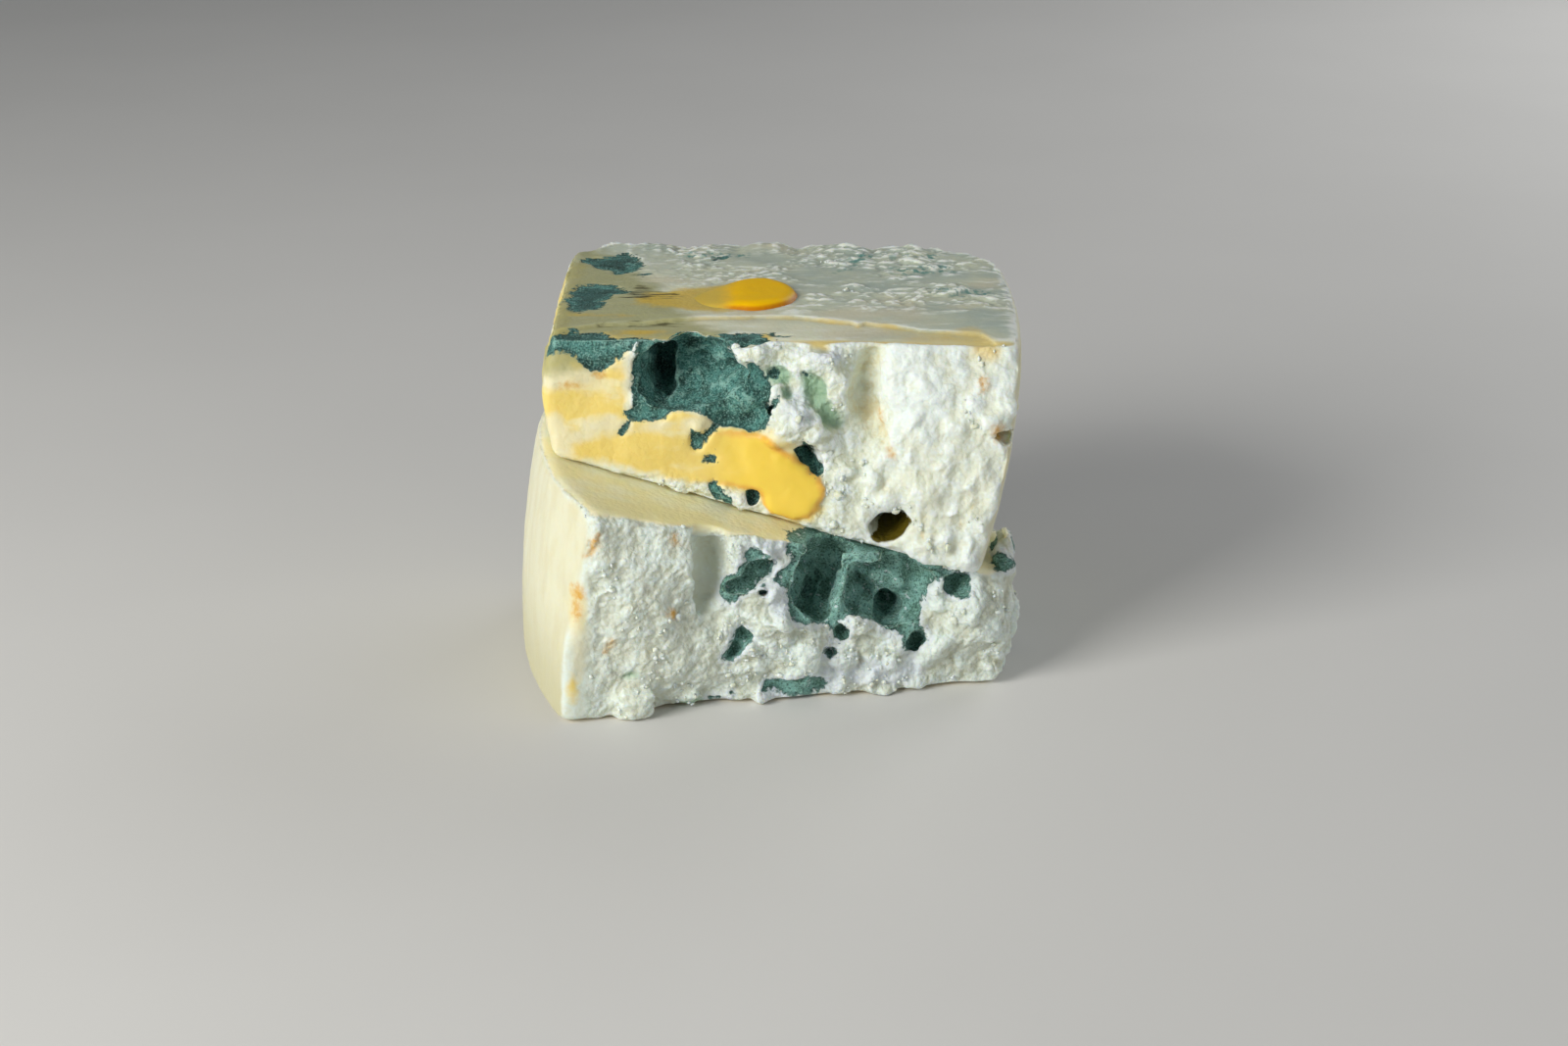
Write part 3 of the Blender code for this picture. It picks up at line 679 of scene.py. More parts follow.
def textured(obj, upper, front, slope, fronts, tops, sides, seed):
    """Gives a slice its relief, and stores what its material reads."""
    mesh = obj.data
    places, normals = arrays(mesh)
    edges = edge_array(mesh)
    cut, rind, thin, soft = face_weights(places, normals, edges, upper)
    jittered = places + drift(places, 1.5, 0.3, seed) + drift(places, 0.5, 0.12, seed)
    depths = patch_depths(jittered, soft, rind, front, slope, fronts, tops, sides, seed)
    x, y, z = places.T
    behind = y - front(places)

    mould = step(-0.2, 0.4, depths["mould"])
    smooth = step(-0.8, 0.8, depths["smooth"])
    crisp = step(-1.6, -0.4, depths["olive"])
    broken = 1.0 - np.maximum.reduce([cut, rind, 0.85 * smooth, (0.8 if upper else 0.45) * mould, 0.7 * thin, 0.8 * crisp])
    curd = front_relief(places, upper, seed)
    heave = soft_noise(places, 5.5, seed + 13.0, 2)
    rough = soft_noise(places, 0.6, seed + 11.0, 2)
    bands = soft_noise(places, 1.0, seed + 29.0, 3, (1.5, 1.2, 4.0))

    relief = broken * (curd + 0.5 * heave + 0.04 * rough)
    relief += rind * (0.06 * bands + 0.01 * rough)
    relief += (1.0 - np.maximum(cut, rind)) * smooth * (0.16 * heave + 0.03 * bands)
    relief += mould * (0.2 * heave + 0.08 * rough)
    drop = np.sqrt(1.0 - (1.0 - np.clip(depths["honey"] / 1.6, 0.0, 1.0)) ** 2) * step(-9.0, -1.0, x)
    relief += 0.75 * drop
    shallow = step(4.0, 1.5, behind)
    relief -= (1.0 - cut) * (0.45 * step(-0.3, 0.5, depths["mould"]) * shallow + 0.35 * step(-0.3, 0.5, depths["green"]))
    strip = np.zeros(len(x))
    if upper:
        on_top = cut * step(45.0, 48.0, z)
        lower_strip = step(-0.2, 0.2, strip_edge(x) + 0.5 * curd - y) * on_top
        relief += on_top * (top_relief(places, seed) * (1.0 - 0.7 * lower_strip) - 0.45 * lower_strip)
        relief -= 0.2 * on_top * step(-0.2, 0.3, depths["mould"])
        away = np.abs(strip_edge(x) - 0.15 - y)
        rim = np.abs(behind - 0.5)
        corner = np.abs(x - 27.0 + 0.35 * np.maximum(y, 0.0) - 0.1 * np.maximum(BLOCK_HEIGHT - z, 0.0))
        strip = np.maximum.reduce([
            on_top * step(1.1, 0.0, away) * (0.55 + 0.15 * step(0.0, 14.0, x)),
            on_top * step(1.3, 0.2, rim) * step(-4.0, 6.0, x) * 0.8,
            0.8 * step(3.6, 0.6, corner) * step(9.0, 4.0, y) * step(46.0, 48.6, z),
            0.7 * lower_strip * step(8.0, 22.0, x),
        ])
    else:
        trough = step(-12.3, -11.5, jittered[:, 0]) * step(-6.0, -10.6, x) * step(13.0, 16.5, z) * step(6.0, 3.0, behind)
        relief -= 2.0 * trough * (1.0 - cut)
        relief += cut * (0.05 * bands + 0.1 * heave)

    seam_gap = np.abs(z - seam(x))
    hidden = step(2.2, 0.6, seam_gap) * step(0.75, 0.9, np.abs(soft[:, 2])) * step(0.0, 3.0, behind)
    foot = step(1.0, 0.2, z) * step(-0.5, -0.8, soft[:, 2]) * (0.0 if upper else 1.0)
    free = 1.0 - np.maximum(hidden, foot)
    moves = drift(places, 3.2, 0.5, seed + 37.0) + drift(places, 1.2, 0.2, seed + 41.0)
    held = np.maximum.reduce([cut, rind, 0.8 * smooth, crisp, step(4.0, 1.5, np.hypot(x - 24.8, z - 17.5)) * upper])
    loose = (free * (1.0 - held) * step(49.4, 47.0, z))[:, None]
    places = places + normals * (relief * free)[:, None] + moves * loose
    places[:, 2] = np.clip(places[:, 2], 0.0, BLOCK_HEIGHT + 1.2)

    mesh.vertices.foreach_set("co", places.ravel())
    mesh.update()
    normals = arrays(mesh)[1]
    wide = relaxed(places, edges, 24)
    near = relaxed(places, edges, 5)
    # How hollow each point lies, which the material turns into painted shade in hollows and painted highlight on
    # ridges
    pit_and_shadow = np.einsum("ij,ij->i", wide - places, normals) + np.einsum("ij,ij->i", near - places, normals)
    # Painted shadow: just under the upper slice the lower slice counts as hollower, so its colour darkens there
    if not upper:
        pit_and_shadow += 0.5 * step(-4.5, -1.5, z - seam(x)) * step(0.5, 3.0, behind)
    for kind in KINDS:
        store(mesh, kind, depths[kind])
    store(mesh, "cut", cut)
    store(mesh, "rind", rind)
    store(mesh, "pit_and_shadow", np.clip(pit_and_shadow, -1.0, 1.0))
    store(mesh, "crest", np.clip(curd * 2.5, -1.0, 1.0))
    store(mesh, "strip", strip)
    if upper:
        # Painted shade: on the top this field darkens the face towards the back right; on the fronts it marks the
        # warmer curd of the upper right, and at half weight of the lower left
        painted_back_shade = step(8.0, 32.0, y + 0.8 * x)
        store(mesh, "warm_front_shaded_top", on_top * painted_back_shade + (1.0 - on_top) * step(4.0, 16.0, x))
    else:
        store(mesh, "warm_front_shaded_top", 0.5 * step(-8.0, -18.0, x))
    store(mesh, "calm", np.maximum.reduce([0.8 * cut, 0.8 * rind, 0.8 * smooth, step(-0.3, 0.3, depths["honey"])]))
    store(mesh, "amber", step(-0.15, 0.15, depths["honey"]) * step(-13.0, -4.0, x))
    store(mesh, "lower", np.zeros(len(x)) if upper else np.ones(len(x)))


def finished_slice(node, name, lumps, cuts, bare, front, lid, slope, fronts, tops, sides, seed):
    made = raw_slice(node, name, lumps, cuts, front, lid, bare, seed)
    textured(made, node == "upper_slice", front, slope, fronts, tops, sides, seed)
    count = sum(len(p.vertices) - 2 for p in made.data.polygons)
    if count > MOST_TRIANGLES:
        fewer = made.modifiers.new("fewer", "DECIMATE")
        fewer.ratio = MOST_TRIANGLES / count
        applied(made)
    made.data.transform(Matrix.Translation(DATUM) @ Matrix.Scale(MM, 4))
    made.data.shade_smooth()
    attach(made, "root")
    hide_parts(node)
    return made


# --- Materials --------------------------------------------------------------------------------


def rgb(red, green, blue):
    """A colour given in 0 to 255, as the linear light that a shader takes."""
    linear = [c / 255 / 12.92 if c <= 10 else ((c / 255 + 0.055) / 1.055) ** 2.4 for c in (red, green, blue)]
    return (*linear, 1.0)


CREST = rgb(233, 242, 237)
BODY = rgb(219, 224, 202)
HOLLOW = rgb(204, 190, 142)
LOWER_CREST = rgb(226, 237, 230)
LOWER_BODY = rgb(212, 218, 202)
LOWER_HOLLOW = rgb(194, 190, 154)
WARM_BODY = rgb(227, 231, 213)
WARM_HOLLOW = rgb(226, 208, 146)
RIPE = rgb(236, 211, 110)
RIPE_PALE = rgb(238, 226, 172)
CREAM = rgb(229, 225, 194)
FROST = rgb(222, 230, 234)
TOP_FACE = rgb(226, 228, 202)
TOP_PALE = rgb(240, 245, 236)
TOP_SHADE = rgb(198, 204, 182)
# Painted shade for the back right of the top
TOP_BACK_PAINTED_SHADE = rgb(170, 184, 173)
# Painted shade for the left of the top and the front's top-left corner
PAINTED_LEFT_SHADE = rgb(168, 168, 120)
TOP_BLUSH = rgb(222, 208, 176)
TOP_DEEP = rgb(150, 160, 144)
TAN_FACE = rgb(254, 240, 188)
TAN_PALE = rgb(254, 246, 212)
BUTTER_BAND = rgb(226, 200, 112)
RIND = rgb(223, 222, 194)
RIND_SHADE = rgb(218, 214, 181)
# Painted shade for the rind near the foot
RIND_LOW_SHADE = rgb(200, 196, 160)
MOULD = rgb(82, 137, 129)
LOWER_MOULD = rgb(124, 170, 160)
MOULD_PALE = rgb(146, 188, 178)
MOULD_DEEP = rgb(50, 88, 80)
LOWER_DEEP = rgb(94, 134, 120)
MOULD_DARK = rgb(20, 42, 40)
GREEN = rgb(136, 174, 142)
ORANGE = rgb(214, 158, 0)
OLIVE = rgb(96, 84, 18)
FIBRE = rgb(62, 56, 18)
FILM = rgb(214, 184, 78)
HONEY = rgb(252, 196, 0)
HONEY_RIM = rgb(206, 128, 4)
LOBE_TIP = rgb(242, 212, 86)
LOBE_RIM = rgb(236, 186, 84)


class Graph:
    """The node tree of a new material, with short calls for the nodes used here."""

    def __init__(self, name):
        self.material = bpy.data.materials.new(name)
        self.material.use_nodes = True
        self.tree = self.material.node_tree
        self.shader = self.tree.nodes["Principled BSDF"]
        self.place = self.add("ShaderNodeTexCoord").outputs["Object"]

    def add(self, kind, inputs=None, **settings):
        made = self.tree.nodes.new(kind)
        for name, value in settings.items():
            setattr(made, name, value)
        for key, value in (inputs or {}).items():
            if isinstance(value, bpy.types.NodeSocket):
                self.tree.links.new(value, made.inputs[key])
            else:
                made.inputs[key].default_value = value
        return made

    def field(self, name):
        return self.add("ShaderNodeAttribute", attribute_name=name).outputs["Fac"]

    def sum(self, a, b, times=1.0):
        """a + b * times"""
        return self.add("ShaderNodeMath", {0: b, 1: times, 2: a}, operation="MULTIPLY_ADD").outputs[0]

    def product(self, a, b):
        return self.add("ShaderNodeMath", {0: a, 1: b}, operation="MULTIPLY").outputs[0]

    def larger(self, a, b):
        return self.add("ShaderNodeMath", {0: a, 1: b}, operation="MAXIMUM").outputs[0]

    def step(self, low, high, value, top=1.0):
        return self.add(
            "ShaderNodeMapRange",
            {"Value": value, "From Min": low, "From Max": high, "To Max": top},
            interpolation_type="SMOOTHSTEP",
        ).outputs["Result"]

    def blend(self, amount, a, b):
        made = self.add("ShaderNodeMix", data_type="RGBA")
        for socket, value in ((made.inputs[0], amount), (made.inputs[6], a), (made.inputs[7], b)):
            if isinstance(value, bpy.types.NodeSocket):
                self.tree.links.new(value, socket)
            else:
                socket.default_value = value
        return made.outputs[2]

    def stretched(self, stretch):
        return self.add("ShaderNodeMapping", {"Vector": self.place, "Scale": [1 / s for s in stretch]}).outputs[0]

    def noise(self, size, detail=3.0, vector=None, warp=0.0):
        """Noise of 0 to 1 whose waves are so many millimetres long."""
        return self.add(
            "ShaderNodeTexNoise",
            {"Vector": vector or self.place, "Scale": 1 / (size * MM), "Detail": detail, "Distortion": warp},
        ).outputs["Fac"]

    def cells(self, size, vector=None, feature="F1"):
        return self.add(
            "ShaderNodeTexVoronoi", {"Vector": vector or self.place, "Scale": 1 / (size * MM)}, feature=feature
        ).outputs["Distance"]

    def warped(self, reach):
        """The place, pushed about by noise so that cells lose their straight sides."""
        pushes = self.add("ShaderNodeTexNoise", {"Vector": self.place, "Scale": 1 / (0.9 * MM), "Detail": 2.0})
        made = self.add("ShaderNodeVectorMath", {2: self.place}, operation="MULTIPLY_ADD")
        self.tree.links.new(pushes.outputs["Color"], made.inputs[0])
        made.inputs[1].default_value = (reach * MM, reach * MM, reach * MM)
        return made.outputs[0]

    def height(self):
        return self.add("ShaderNodeSeparateXYZ", {0: self.place}).outputs["Z"]

    def inverse(self, value):
        return self.add("ShaderNodeMath", {0: 1.0, 1: value}, operation="SUBTRACT").outputs[0]

    def centred(self, value):
        return self.add("ShaderNodeMath", {0: value, 1: 0.5}, operation="SUBTRACT").outputs[0]


def cheese_material():
    g = Graph("blue_cheese")
    pit_and_shadow, cut, rind, warm_front_shaded_top, lower = (g.field(name) for name in ("pit_and_shadow", "cut", "rind", "warm_front_shaded_top", "lower"))
    fine = g.centred(g.noise(0.5, 3.0))
    soft = g.centred(g.noise(2.4, 3.0))
    wide = g.centred(g.noise(8.0, 2.0))

    # The broken curd: white grains on its crests, cream between them, and buttery in its hollows. The whiter crests
    # are partly painted highlight and the darker hollows partly painted shade, as set by how hollow the surface is
    height = g.sum(g.sum(g.product(g.field("crest"), 0.45), pit_and_shadow, -0.9), fine, 1.1)
    height = g.sum(g.sum(height, soft, 1.4), wide, 0.6)
    body = g.blend(warm_front_shaded_top, g.blend(lower, BODY, LOWER_BODY), WARM_BODY)
    hollow = g.blend(warm_front_shaded_top, g.blend(lower, HOLLOW, LOWER_HOLLOW), WARM_HOLLOW)
    curd = g.blend(g.step(-0.3, 0.5, height), body, g.blend(lower, CREST, LOWER_CREST))
    curd = g.blend(g.step(-0.35, -1.1, height, 0.6), curd, hollow)
    # Frost patches whiten the curd; the wide one low on the lower front is painted light over the foot's shade
    curd = g.blend(g.step(-1.2, 0.8, g.sum(g.field("frost_and_painted_light"), soft, 2.0), 0.8), curd, FROST)

    # The knife-cut faces: strokes along X, waxy grey-ivory on the top and tan between the slices
    streak = g.noise(1.0, 3.0, g.stretched((6.0, 1.6, 2.0)))
    mottle = g.noise(5.0, 2.0, g.stretched((1.8, 1.2, 1.0)))
    blush = g.noise(9.0, 2.0, g.stretched((1.6, 1.0, 1.0)))
    # Painted shade: the top turns a darker grey-green towards the back right
    face = g.blend(g.step(0.3, 0.65, mottle), TOP_SHADE, g.blend(g.product(warm_front_shaded_top, 0.9), TOP_FACE, TOP_BACK_PAINTED_SHADE))
    face = g.blend(g.step(0.5, 0.7, blush, 0.4), face, TOP_BLUSH)
    # Painted highlight and shade: the flakes' raised edges turn pale, partly as white torn curd and partly as painted
    # highlight, and their hollows turn darker as painted shade
    torn = g.sum(g.centred(streak), pit_and_shadow, -2.4)
    face = g.blend(g.product(g.step(0.0, 0.4, torn, 0.9), g.inverse(g.field("strip"))), face, TOP_PALE)
    face = g.blend(g.step(-0.15, -0.6, torn, 0.4), face, TOP_DEEP)
    tan = g.blend(g.step(0.4, 0.62, mottle), TAN_FACE, TAN_PALE)
    face = g.blend(lower, face, tan)
    colour = g.blend(cut, curd, face)

    skin = g.blend(g.step(0.35, 0.7, g.noise(1.0, 5.0, g.stretched((2.4, 2.4, 7.0)))), RIND, RIND_SHADE)
    # Painted shade: the rind darkens towards the foot
    skin = g.blend(g.step(18.0 * MM, 2.0 * MM, g.height()), skin, RIND_LOW_SHADE)
    colour = g.blend(rind, colour, skin)
    band = g.step(0.1, 1.0, g.sum(g.sum(g.field("strip"), g.centred(streak), 0.7), soft, 0.5), 0.8)
    colour = g.blend(band, colour, BUTTER_BAND)

    ripe = g.step(-1.0, 0.8, g.sum(g.field("ripe"), soft, 3.0), 0.92)
    ripe_colour = g.blend(g.step(0.48, 0.7, g.noise(2.6, 3.0, g.stretched((2.4, 2.0, 1.0)))), RIPE, RIPE_PALE)
    colour = g.blend(ripe, colour, ripe_colour)
    colour = g.blend(g.step(-0.8, 0.8, g.sum(g.field("pale"), soft, 2.0), 0.8), colour, CREAM)
    colour = g.blend(g.step(-1.0, 0.7, g.sum(g.sum(g.field("orange"), fine, 1.6), soft, 1.0), 0.9), colour, ORANGE)
    # Painted shade: an olive darkening over the left of the top and the front's top-left corner
    painted_left_shade = g.sum(g.sum(g.field("painted_left_shade"), soft, 3.0), g.centred(streak), 5.0)
    colour = g.blend(g.step(-1.0, 2.8, painted_left_shade, 0.85), colour, PAINTED_LEFT_SHADE)

    rim = g.step(0.15, 0.95, g.sum(g.field("honey"), soft, 0.8))
    colour = g.blend(g.field("amber"), colour, g.blend(rim, LOBE_RIM, LOBE_TIP))
    film = g.step(-1.0, 1.4, g.sum(g.sum(g.field("film"), soft, 2.0), g.centred(streak), 4.0), 0.9)
    colour = g.blend(film, colour, FILM)
    threads = g.noise(0.5, 3.0, g.stretched((8.0, 1.0, 1.0)))
    fibre = g.product(g.step(-1.0, 0.4, g.field("fibre")), g.step(0.5, 0.56, threads, 0.95))
    colour = g.blend(fibre, colour, FIBRE)
    tint = g.product(g.step(-0.8, 1.2, g.sum(g.field("tint"), soft, 2.0)), g.step(0.46, 0.62, g.noise(0.9, 4.0)))
    colour = g.blend(g.product(tint, 0.9), colour, MOULD)

    # Mould: a frosted edge round it, then velvet of pale grains on a darker ground. The ground is darker in hollows as
    # painted shade, and paler on ridges as painted light
    reach = g.sum(g.field("mould"), g.product(g.product(cut, g.inverse(lower)), g.centred(threads)), 3.0)
    ragged = g.sum(reach, g.centred(g.noise(0.7, 5.0)), 1.6)
    rimmed = g.step(-1.2, -0.2, g.sum(reach, soft, 1.8), 0.7)
    rimmed = g.product(rimmed, g.product(g.inverse(cut), g.inverse(ripe)))
    colour = g.blend(g.product(rimmed, g.sum(0.25, lower, 0.75)), colour, FROST)
    colour = g.blend(g.step(-0.7, 0.7, g.sum(g.field("green"), soft, 2.0), 0.85), colour, GREEN)
    # Painted shade and light: the mould's ground darkens in hollows and pales on ridges
    drifts = g.sum(g.noise(1.8, 3.0), pit_and_shadow, -0.35)
    ground = g.blend(lower, MOULD_DEEP, LOWER_DEEP)
    velvet = g.blend(g.step(0.3, 0.6, drifts), ground, g.blend(lower, MOULD, LOWER_MOULD))
    velvet = g.blend(g.step(-0.02, -0.22, pit_and_shadow, 0.65), velvet, MOULD_PALE)
    nap = g.noise(0.27, 1.0)
    velvet = g.blend(g.step(0.5, 0.72, nap, 0.65), velvet, MOULD_PALE)
    velvet = g.blend(g.step(0.47, 0.3, nap, 0.65), velvet, MOULD_DARK)
    bits = g.product(g.step(0.62, 0.7, g.noise(0.8, 3.0)), lower)
    velvet = g.blend(g.product(bits, 0.6), velvet, FROST)
    heart = g.step(0.4, 1.8, g.sum(ragged, g.centred(threads), 4.0))
    velvet = g.blend(g.product(g.product(heart, 0.6), g.product(cut, g.inverse(lower))), velvet, MOULD_DARK)
    mould = g.step(-0.15, 0.2, ragged)
    edge = g.product(mould, g.step(0.6, 0.1, ragged, 0.5))
    colour = g.blend(mould, colour, velvet)
    colour = g.blend(edge, colour, MOULD_DARK)
    specks = g.product(g.step(0.7, 0.76, g.noise(0.6, 2.0)), g.step(-1.6, -0.4, reach))
    colour = g.blend(g.product(specks, 0.6), colour, MOULD_DEEP)

    olive = g.step(-0.15, 0.15, g.field("olive"))
    colour = g.blend(olive, colour, OLIVE)

    g.tree.links.new(colour, g.shader.inputs["Base Color"])
    rough = g.sum(g.sum(0.58, cut, -0.16), mould, 0.36)
    rough = g.sum(g.sum(g.sum(rough, olive, -0.35), ripe, -0.12), g.field("amber"), -0.1)
    g.tree.links.new(rough, g.shader.inputs["Roughness"])
    g.shader.inputs["Subsurface Weight"].default_value = 0.75
    g.shader.inputs["Subsurface Radius"].default_value = (1.0, 0.85, 0.6)
    g.shader.inputs["Subsurface Scale"].default_value = 1.0 * MM
    g.shader.inputs["Specular IOR Level"].default_value = 0.4

    # Rounded grains all over the curd, and a finer nap on the mould
    grains = g.sum(g.product(g.cells(0.75, g.warped(0.5)), -0.8), g.noise(0.5, 3.0), 0.6)
    rough_curd = g.product(g.inverse(g.field("calm")), g.inverse(g.product(warm_front_shaded_top, 0.45)))
    grains = g.product(grains, g.product(rough_curd, g.inverse(g.product(mould, 0.7))))
    grains = g.sum(grains, g.product(mould, nap), 0.6)
    bump = g.add("ShaderNodeBump", {"Strength": 1.0, "Distance": 0.34 * MM, "Height": grains})
    g.tree.links.new(bump.outputs["Normal"], g.shader.inputs["Normal"])
    return g.material


def honey_material(name):
    g = Graph(name)
    colour = g.blend(g.step(0.02, 0.28, g.field("thick")), HONEY_RIM, HONEY)
    pale = g.sum(g.field("pale"), g.centred(g.noise(2.0)), 0.5)
    colour = g.blend(g.step(0.2, 0.9, pale), colour, FILM)
    g.tree.links.new(colour, g.shader.inputs["Base Color"])
    g.shader.inputs["Roughness"].default_value = 0.4
    g.shader.inputs["Subsurface Weight"].default_value = 0.4
    g.shader.inputs["Subsurface Radius"].default_value = (1.0, 0.6, 0.15)
    g.shader.inputs["Subsurface Scale"].default_value = 0.6 * MM
    g.shader.inputs["Specular IOR Level"].default_value = 0.2
    bump = g.add("ShaderNodeBump", {"Strength": 0.3, "Distance": 0.2 * MM, "Height": g.noise(1.6, 2.0)})
    g.tree.links.new(bump.outputs["Normal"], g.shader.inputs["Normal"])
    return g.material


# --- Honey ------------------------------------------------------------------------------------


def honey_sheet(name, outline, host):
    """A tongue of honey on the top: a fine grid over its outline, laid on the cheese and domed."""
    curve = smooth_outline(outline)
    low, high = curve.min(0) - 1.0, curve.max(0) + 1.0
    cell = 0.28
    columns, rows = (int((high[k] - low[k]) / cell) for k in (0, 1))
    bm = bmesh.new()
    bmesh.ops.create_grid(bm, x_segments=columns, y_segments=rows, size=0.5)
    tree = BVHTree.FromObject(host, bpy.context.evaluated_depsgraph_get())
    x = np.array([low[0] + (high[0] - low[0]) * (v.co.x + 0.5) for v in bm.verts])
    y = np.array([low[1] + (high[1] - low[1]) * (v.co.y + 0.5) for v in bm.verts])
    lay = []
    for a, b in zip(x, y):
        hit = tree.ray_cast(DATUM + Vector((a, b, 80.0)) * MM, Vector((0.0, 0.0, -1.0)))[0]
        lay.append(((hit - DATUM) / MM).z)
    ends = np.array([[v.index for v in e.verts] for e in bm.edges])
    lay = relaxed(np.array(lay), ends, 14)
    inside = depth_inside(outline, x, y)
    dome = np.sqrt(1.0 - (1.0 - np.clip(inside / 1.7, 0.0, 1.0)) ** 2)
    thickness = 0.3 + 0.7 * step(-11.0, -5.0, x)
    rise = np.where(inside > 0.0, thickness * dome, 0.9 * np.maximum(inside, -1.0)) - 0.3 * step(-9.5, -13.5, x)
    for k, vert in enumerate(bm.verts):
        vert.co = Vector((x[k], y[k], lay[k] + rise[k]))
    bm.verts.ensure_lookup_table()
    far = [v for k, v in enumerate(bm.verts) if inside[k] < -0.9]
    bmesh.ops.delete(bm, geom=far, context="VERTS")
    faces = list(bm.faces)
    if sum(f.normal.z for f in faces) < 0:
        bmesh.ops.reverse_faces(bm, faces=faces)
    bmesh.ops.solidify(bm, geom=faces, thickness=0.7)
    mesh = bpy.data.meshes.new(name)
    bm.to_mesh(mesh)
    bm.free()
    x, y, _ = arrays(mesh)[0].T
    store(mesh, "thick", np.clip(depth_inside(outline, x, y) / 1.7, 0.0, 1.0))
    store(mesh, "pale", step(-4.5, -11.0, x))
    mesh.transform(Matrix.Translation(DATUM) @ Matrix.Scale(MM, 4))
    mesh.shade_smooth()
    made = bpy.data.objects.new(name, mesh)
    bpy.context.scene.collection.objects.link(made)
    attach(made, "root")
    return made


# --- Crumbs ---------------------------------------------------------------------------------------


def crumb_material():
    g = Graph("crumb")
    g.tree.links.new(
        g.blend(g.step(0.4, 0.62, g.noise(0.9, 3.0)), LOWER_CREST, BODY), g.shader.inputs["Base Color"]
    )
    g.shader.inputs["Roughness"].default_value = 0.7
    g.shader.inputs["Specular IOR Level"].default_value = 0.2
    g.shader.inputs["Subsurface Weight"].default_value = 0.8
    g.shader.inputs["Subsurface Radius"].default_value = (1.0, 0.85, 0.6)
    g.shader.inputs["Subsurface Scale"].default_value = 0.6 * MM
    bump = g.add("ShaderNodeBump", {"Strength": 0.6, "Distance": 0.1 * MM, "Height": g.noise(0.3, 2.0)})
    g.tree.links.new(bump.outputs["Normal"], g.shader.inputs["Normal"])
    return g.material


def loose_crumbs(hosts, count, seed):
    """Crumbs clinging to the curd in little groups, and a few on the torn part of the top."""
    rng = random.Random(seed)
    graph = bpy.context.evaluated_depsgraph_get()
    trees = [(BVHTree.FromObject(host, graph), host.data) for host in hosts]
    bm = bmesh.new()
    for k in range(count):
        if k % 4 == 0:
            way = rng.choices(
                [Vector((0, 1, 0)), Vector((0, -1, 0)), Vector((0, 0, -1)), Vector((-1, 0, 0))], [0.6, 0.18, 0.12, 0.1]
            )[0]
            middle = Vector((rng.uniform(-34.0, 30.0), rng.uniform(-14.0, 44.0), 50.0 * rng.random() ** 1.6))
        spot = middle + Vector(rng.gauss(0.0, 0.7) for _ in range(3))
        size = rng.uniform(0.14, 0.24) + 0.3 * rng.random() ** 5
        shape = Vector(rng.uniform(0.6, 1.4) for _ in range(3))
        start = DATUM + (spot - way * 90.0) * MM
        hits = [(*tree.ray_cast(start, way), mesh) for tree, mesh in trees]
        hits = [found for found in hits if found[0]]
        if not hits:
            continue
        hit, normal, index, _, mesh = min(hits, key=lambda found: found[3])
        place = (hit - DATUM) / MM
        corner = mesh.polygons[index].vertices[0]
        mouldy = mesh.attributes["mould"].data[corner].value > -0.4
        calm = mesh.attributes["calm"].data[corner].value > 0.4 and way.z > -0.5
        intact = way.z < -0.5 and (place.x < -8.0 or place.y < 16.0)
        if mouldy or calm or intact or normal.dot(way) > -0.3:
            continue
        made = bmesh.ops.create_icosphere(bm, subdivisions=2, radius=1.0)["verts"]
        for vert in made:
            vert.co *= 1.0 + 0.6 * noise.fractal(vert.co * 1.2 + Vector((k, 0.0, 0.0)), 0.9, 2.0, 3)
            vert.co = Vector(c * size * r for c, r in zip(vert.co, shape))
        bmesh.ops.translate(bm, vec=place + normal * size * 0.15, verts=made)
    bmesh.ops.scale(bm, vec=Vector((MM, MM, MM)), verts=bm.verts)
    bmesh.ops.translate(bm, vec=DATUM, verts=bm.verts)
    made = scratch_object("crumbs", bm)
    made.data.shade_smooth()
    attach(made, "root")
    return made


# --- Building ---------------------------------------------------------------------------------

cheese = cheese_material()
upper = finished_slice(
    "upper_slice", "upper_slice_cheese", UPPER_LUMPS, UPPER_CUTS, [LOBE, OLIVE_HOLE], upper_front, block_top,
    0.36, UPPER_FRONT_PATCHES, UPPER_TOP_PATCHES, UPPER_SIDE_PATCHES, 2.0,
)
lower = finished_slice(
    "lower_slice", "lower_slice_cheese", LOWER_LUMPS, LOWER_CUTS, [TROUGH], lower_front, seam,
    0.44, LOWER_FRONT_PATCHES, {}, LOWER_SIDE_PATCHES, 31.0,
)
for piece, slot in ((upper, "cheese_paste"), (lower, "ripe_cheese_paste")):
    piece.data.materials.clear()
    piece.data.materials.append(cheese)

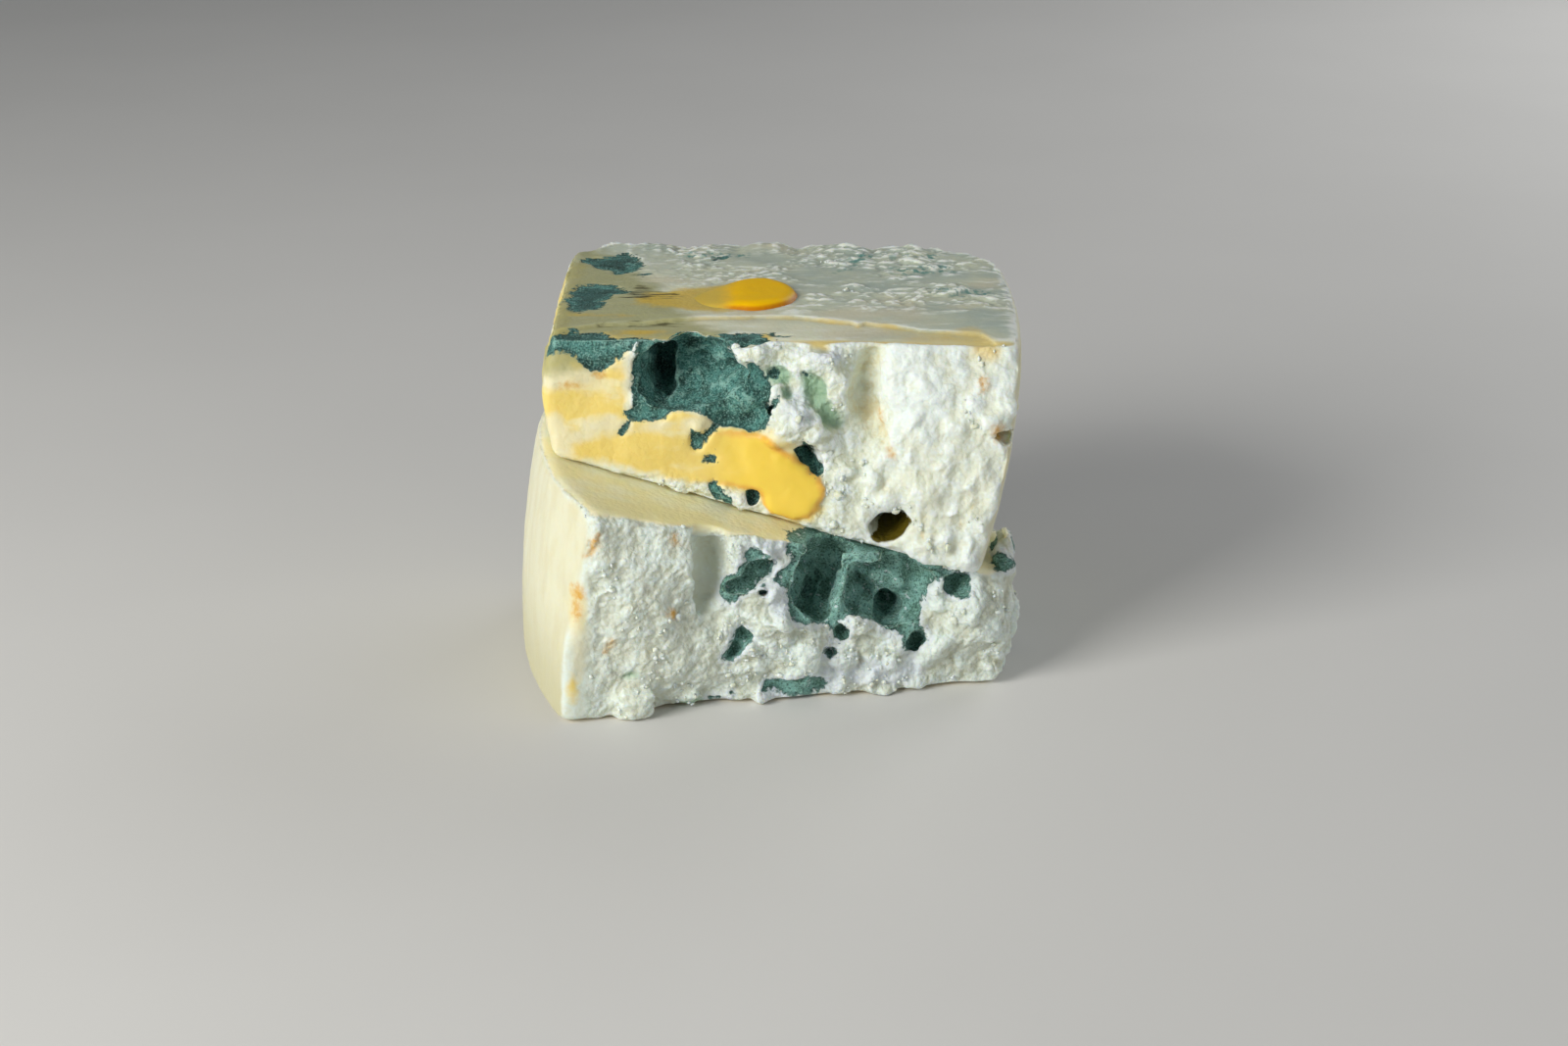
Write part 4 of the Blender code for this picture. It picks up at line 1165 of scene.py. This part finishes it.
honey = honey_material("honey")
tongue = honey_sheet("honey_tongue", TONGUE, upper)
tongue.data.materials.append(honey)
loose_crumbs((upper, lower), 700, 5).data.materials.append(crumb_material())


# --- Floor, light and camera ------------------------------------------------------------------


def floor():
    bm = bmesh.new()
    bmesh.ops.create_grid(bm, x_segments=2, y_segments=2, size=1.5)
    mesh = bpy.data.meshes.new("floor")
    bm.to_mesh(mesh)
    bm.free()
    made = bpy.data.objects.new("floor", mesh)
    made.location.z = LOWER_LOW.z - 0.0002
    bpy.context.scene.collection.objects.link(made)
    g = Graph("pale_floor")
    g.tree.links.new(
        g.blend(g.noise(60.0, 2.0), rgb(214, 213, 210), rgb(220, 219, 216)), g.shader.inputs["Base Color"]
    )
    g.shader.inputs["Roughness"].default_value = 0.7
    mesh.materials.append(g.material)


def area_light(name, place, size, power, colour=(1.0, 1.0, 1.0)):
    """A square lamp that faces the middle of the cheese."""
    light = bpy.data.lights.new(name, "AREA")
    light.size = size
    light.energy = power
    light.color = colour
    made = bpy.data.objects.new(name, light)
    middle = Vector((0.0, 0.0, 0.025))
    made.location = Vector(place)
    made.rotation_euler = (middle - made.location).to_track_quat("-Z", "Y").to_euler()
    bpy.context.scene.collection.objects.link(made)


def camera():
    data = bpy.data.cameras.new("camera")
    data.lens = 56.475
    data.sensor_width = 36.0
    data.clip_start = 0.01
    made = bpy.data.objects.new("camera", data)
    made.location = DATUM + Vector((0.0, -312.4, 154.9)) * MM
    made.rotation_euler = (math.radians(90.0 - 22.8), 0.0, 0.0)
    bpy.context.scene.collection.objects.link(made)
    bpy.context.scene.camera = made


def world():
    made = bpy.data.worlds.new("world")
    made.use_nodes = True
    background = made.node_tree.nodes["Background"]
    background.inputs["Color"].default_value = (0.82, 0.86, 0.9, 1.0)
    background.inputs["Strength"].default_value = 0.16
    bpy.context.scene.world = made


floor()
area_light("key", (-0.42, -0.36, 0.3), 0.3, 3.6, (1.0, 0.985, 0.95))
area_light("fill", (0.45, -0.3, 0.22), 0.4, 0.4)
area_light("back", (0.42, 0.42, 0.3), 0.4, 1.2)
camera()
world()
bpy.context.scene.view_settings.view_transform = "Standard"
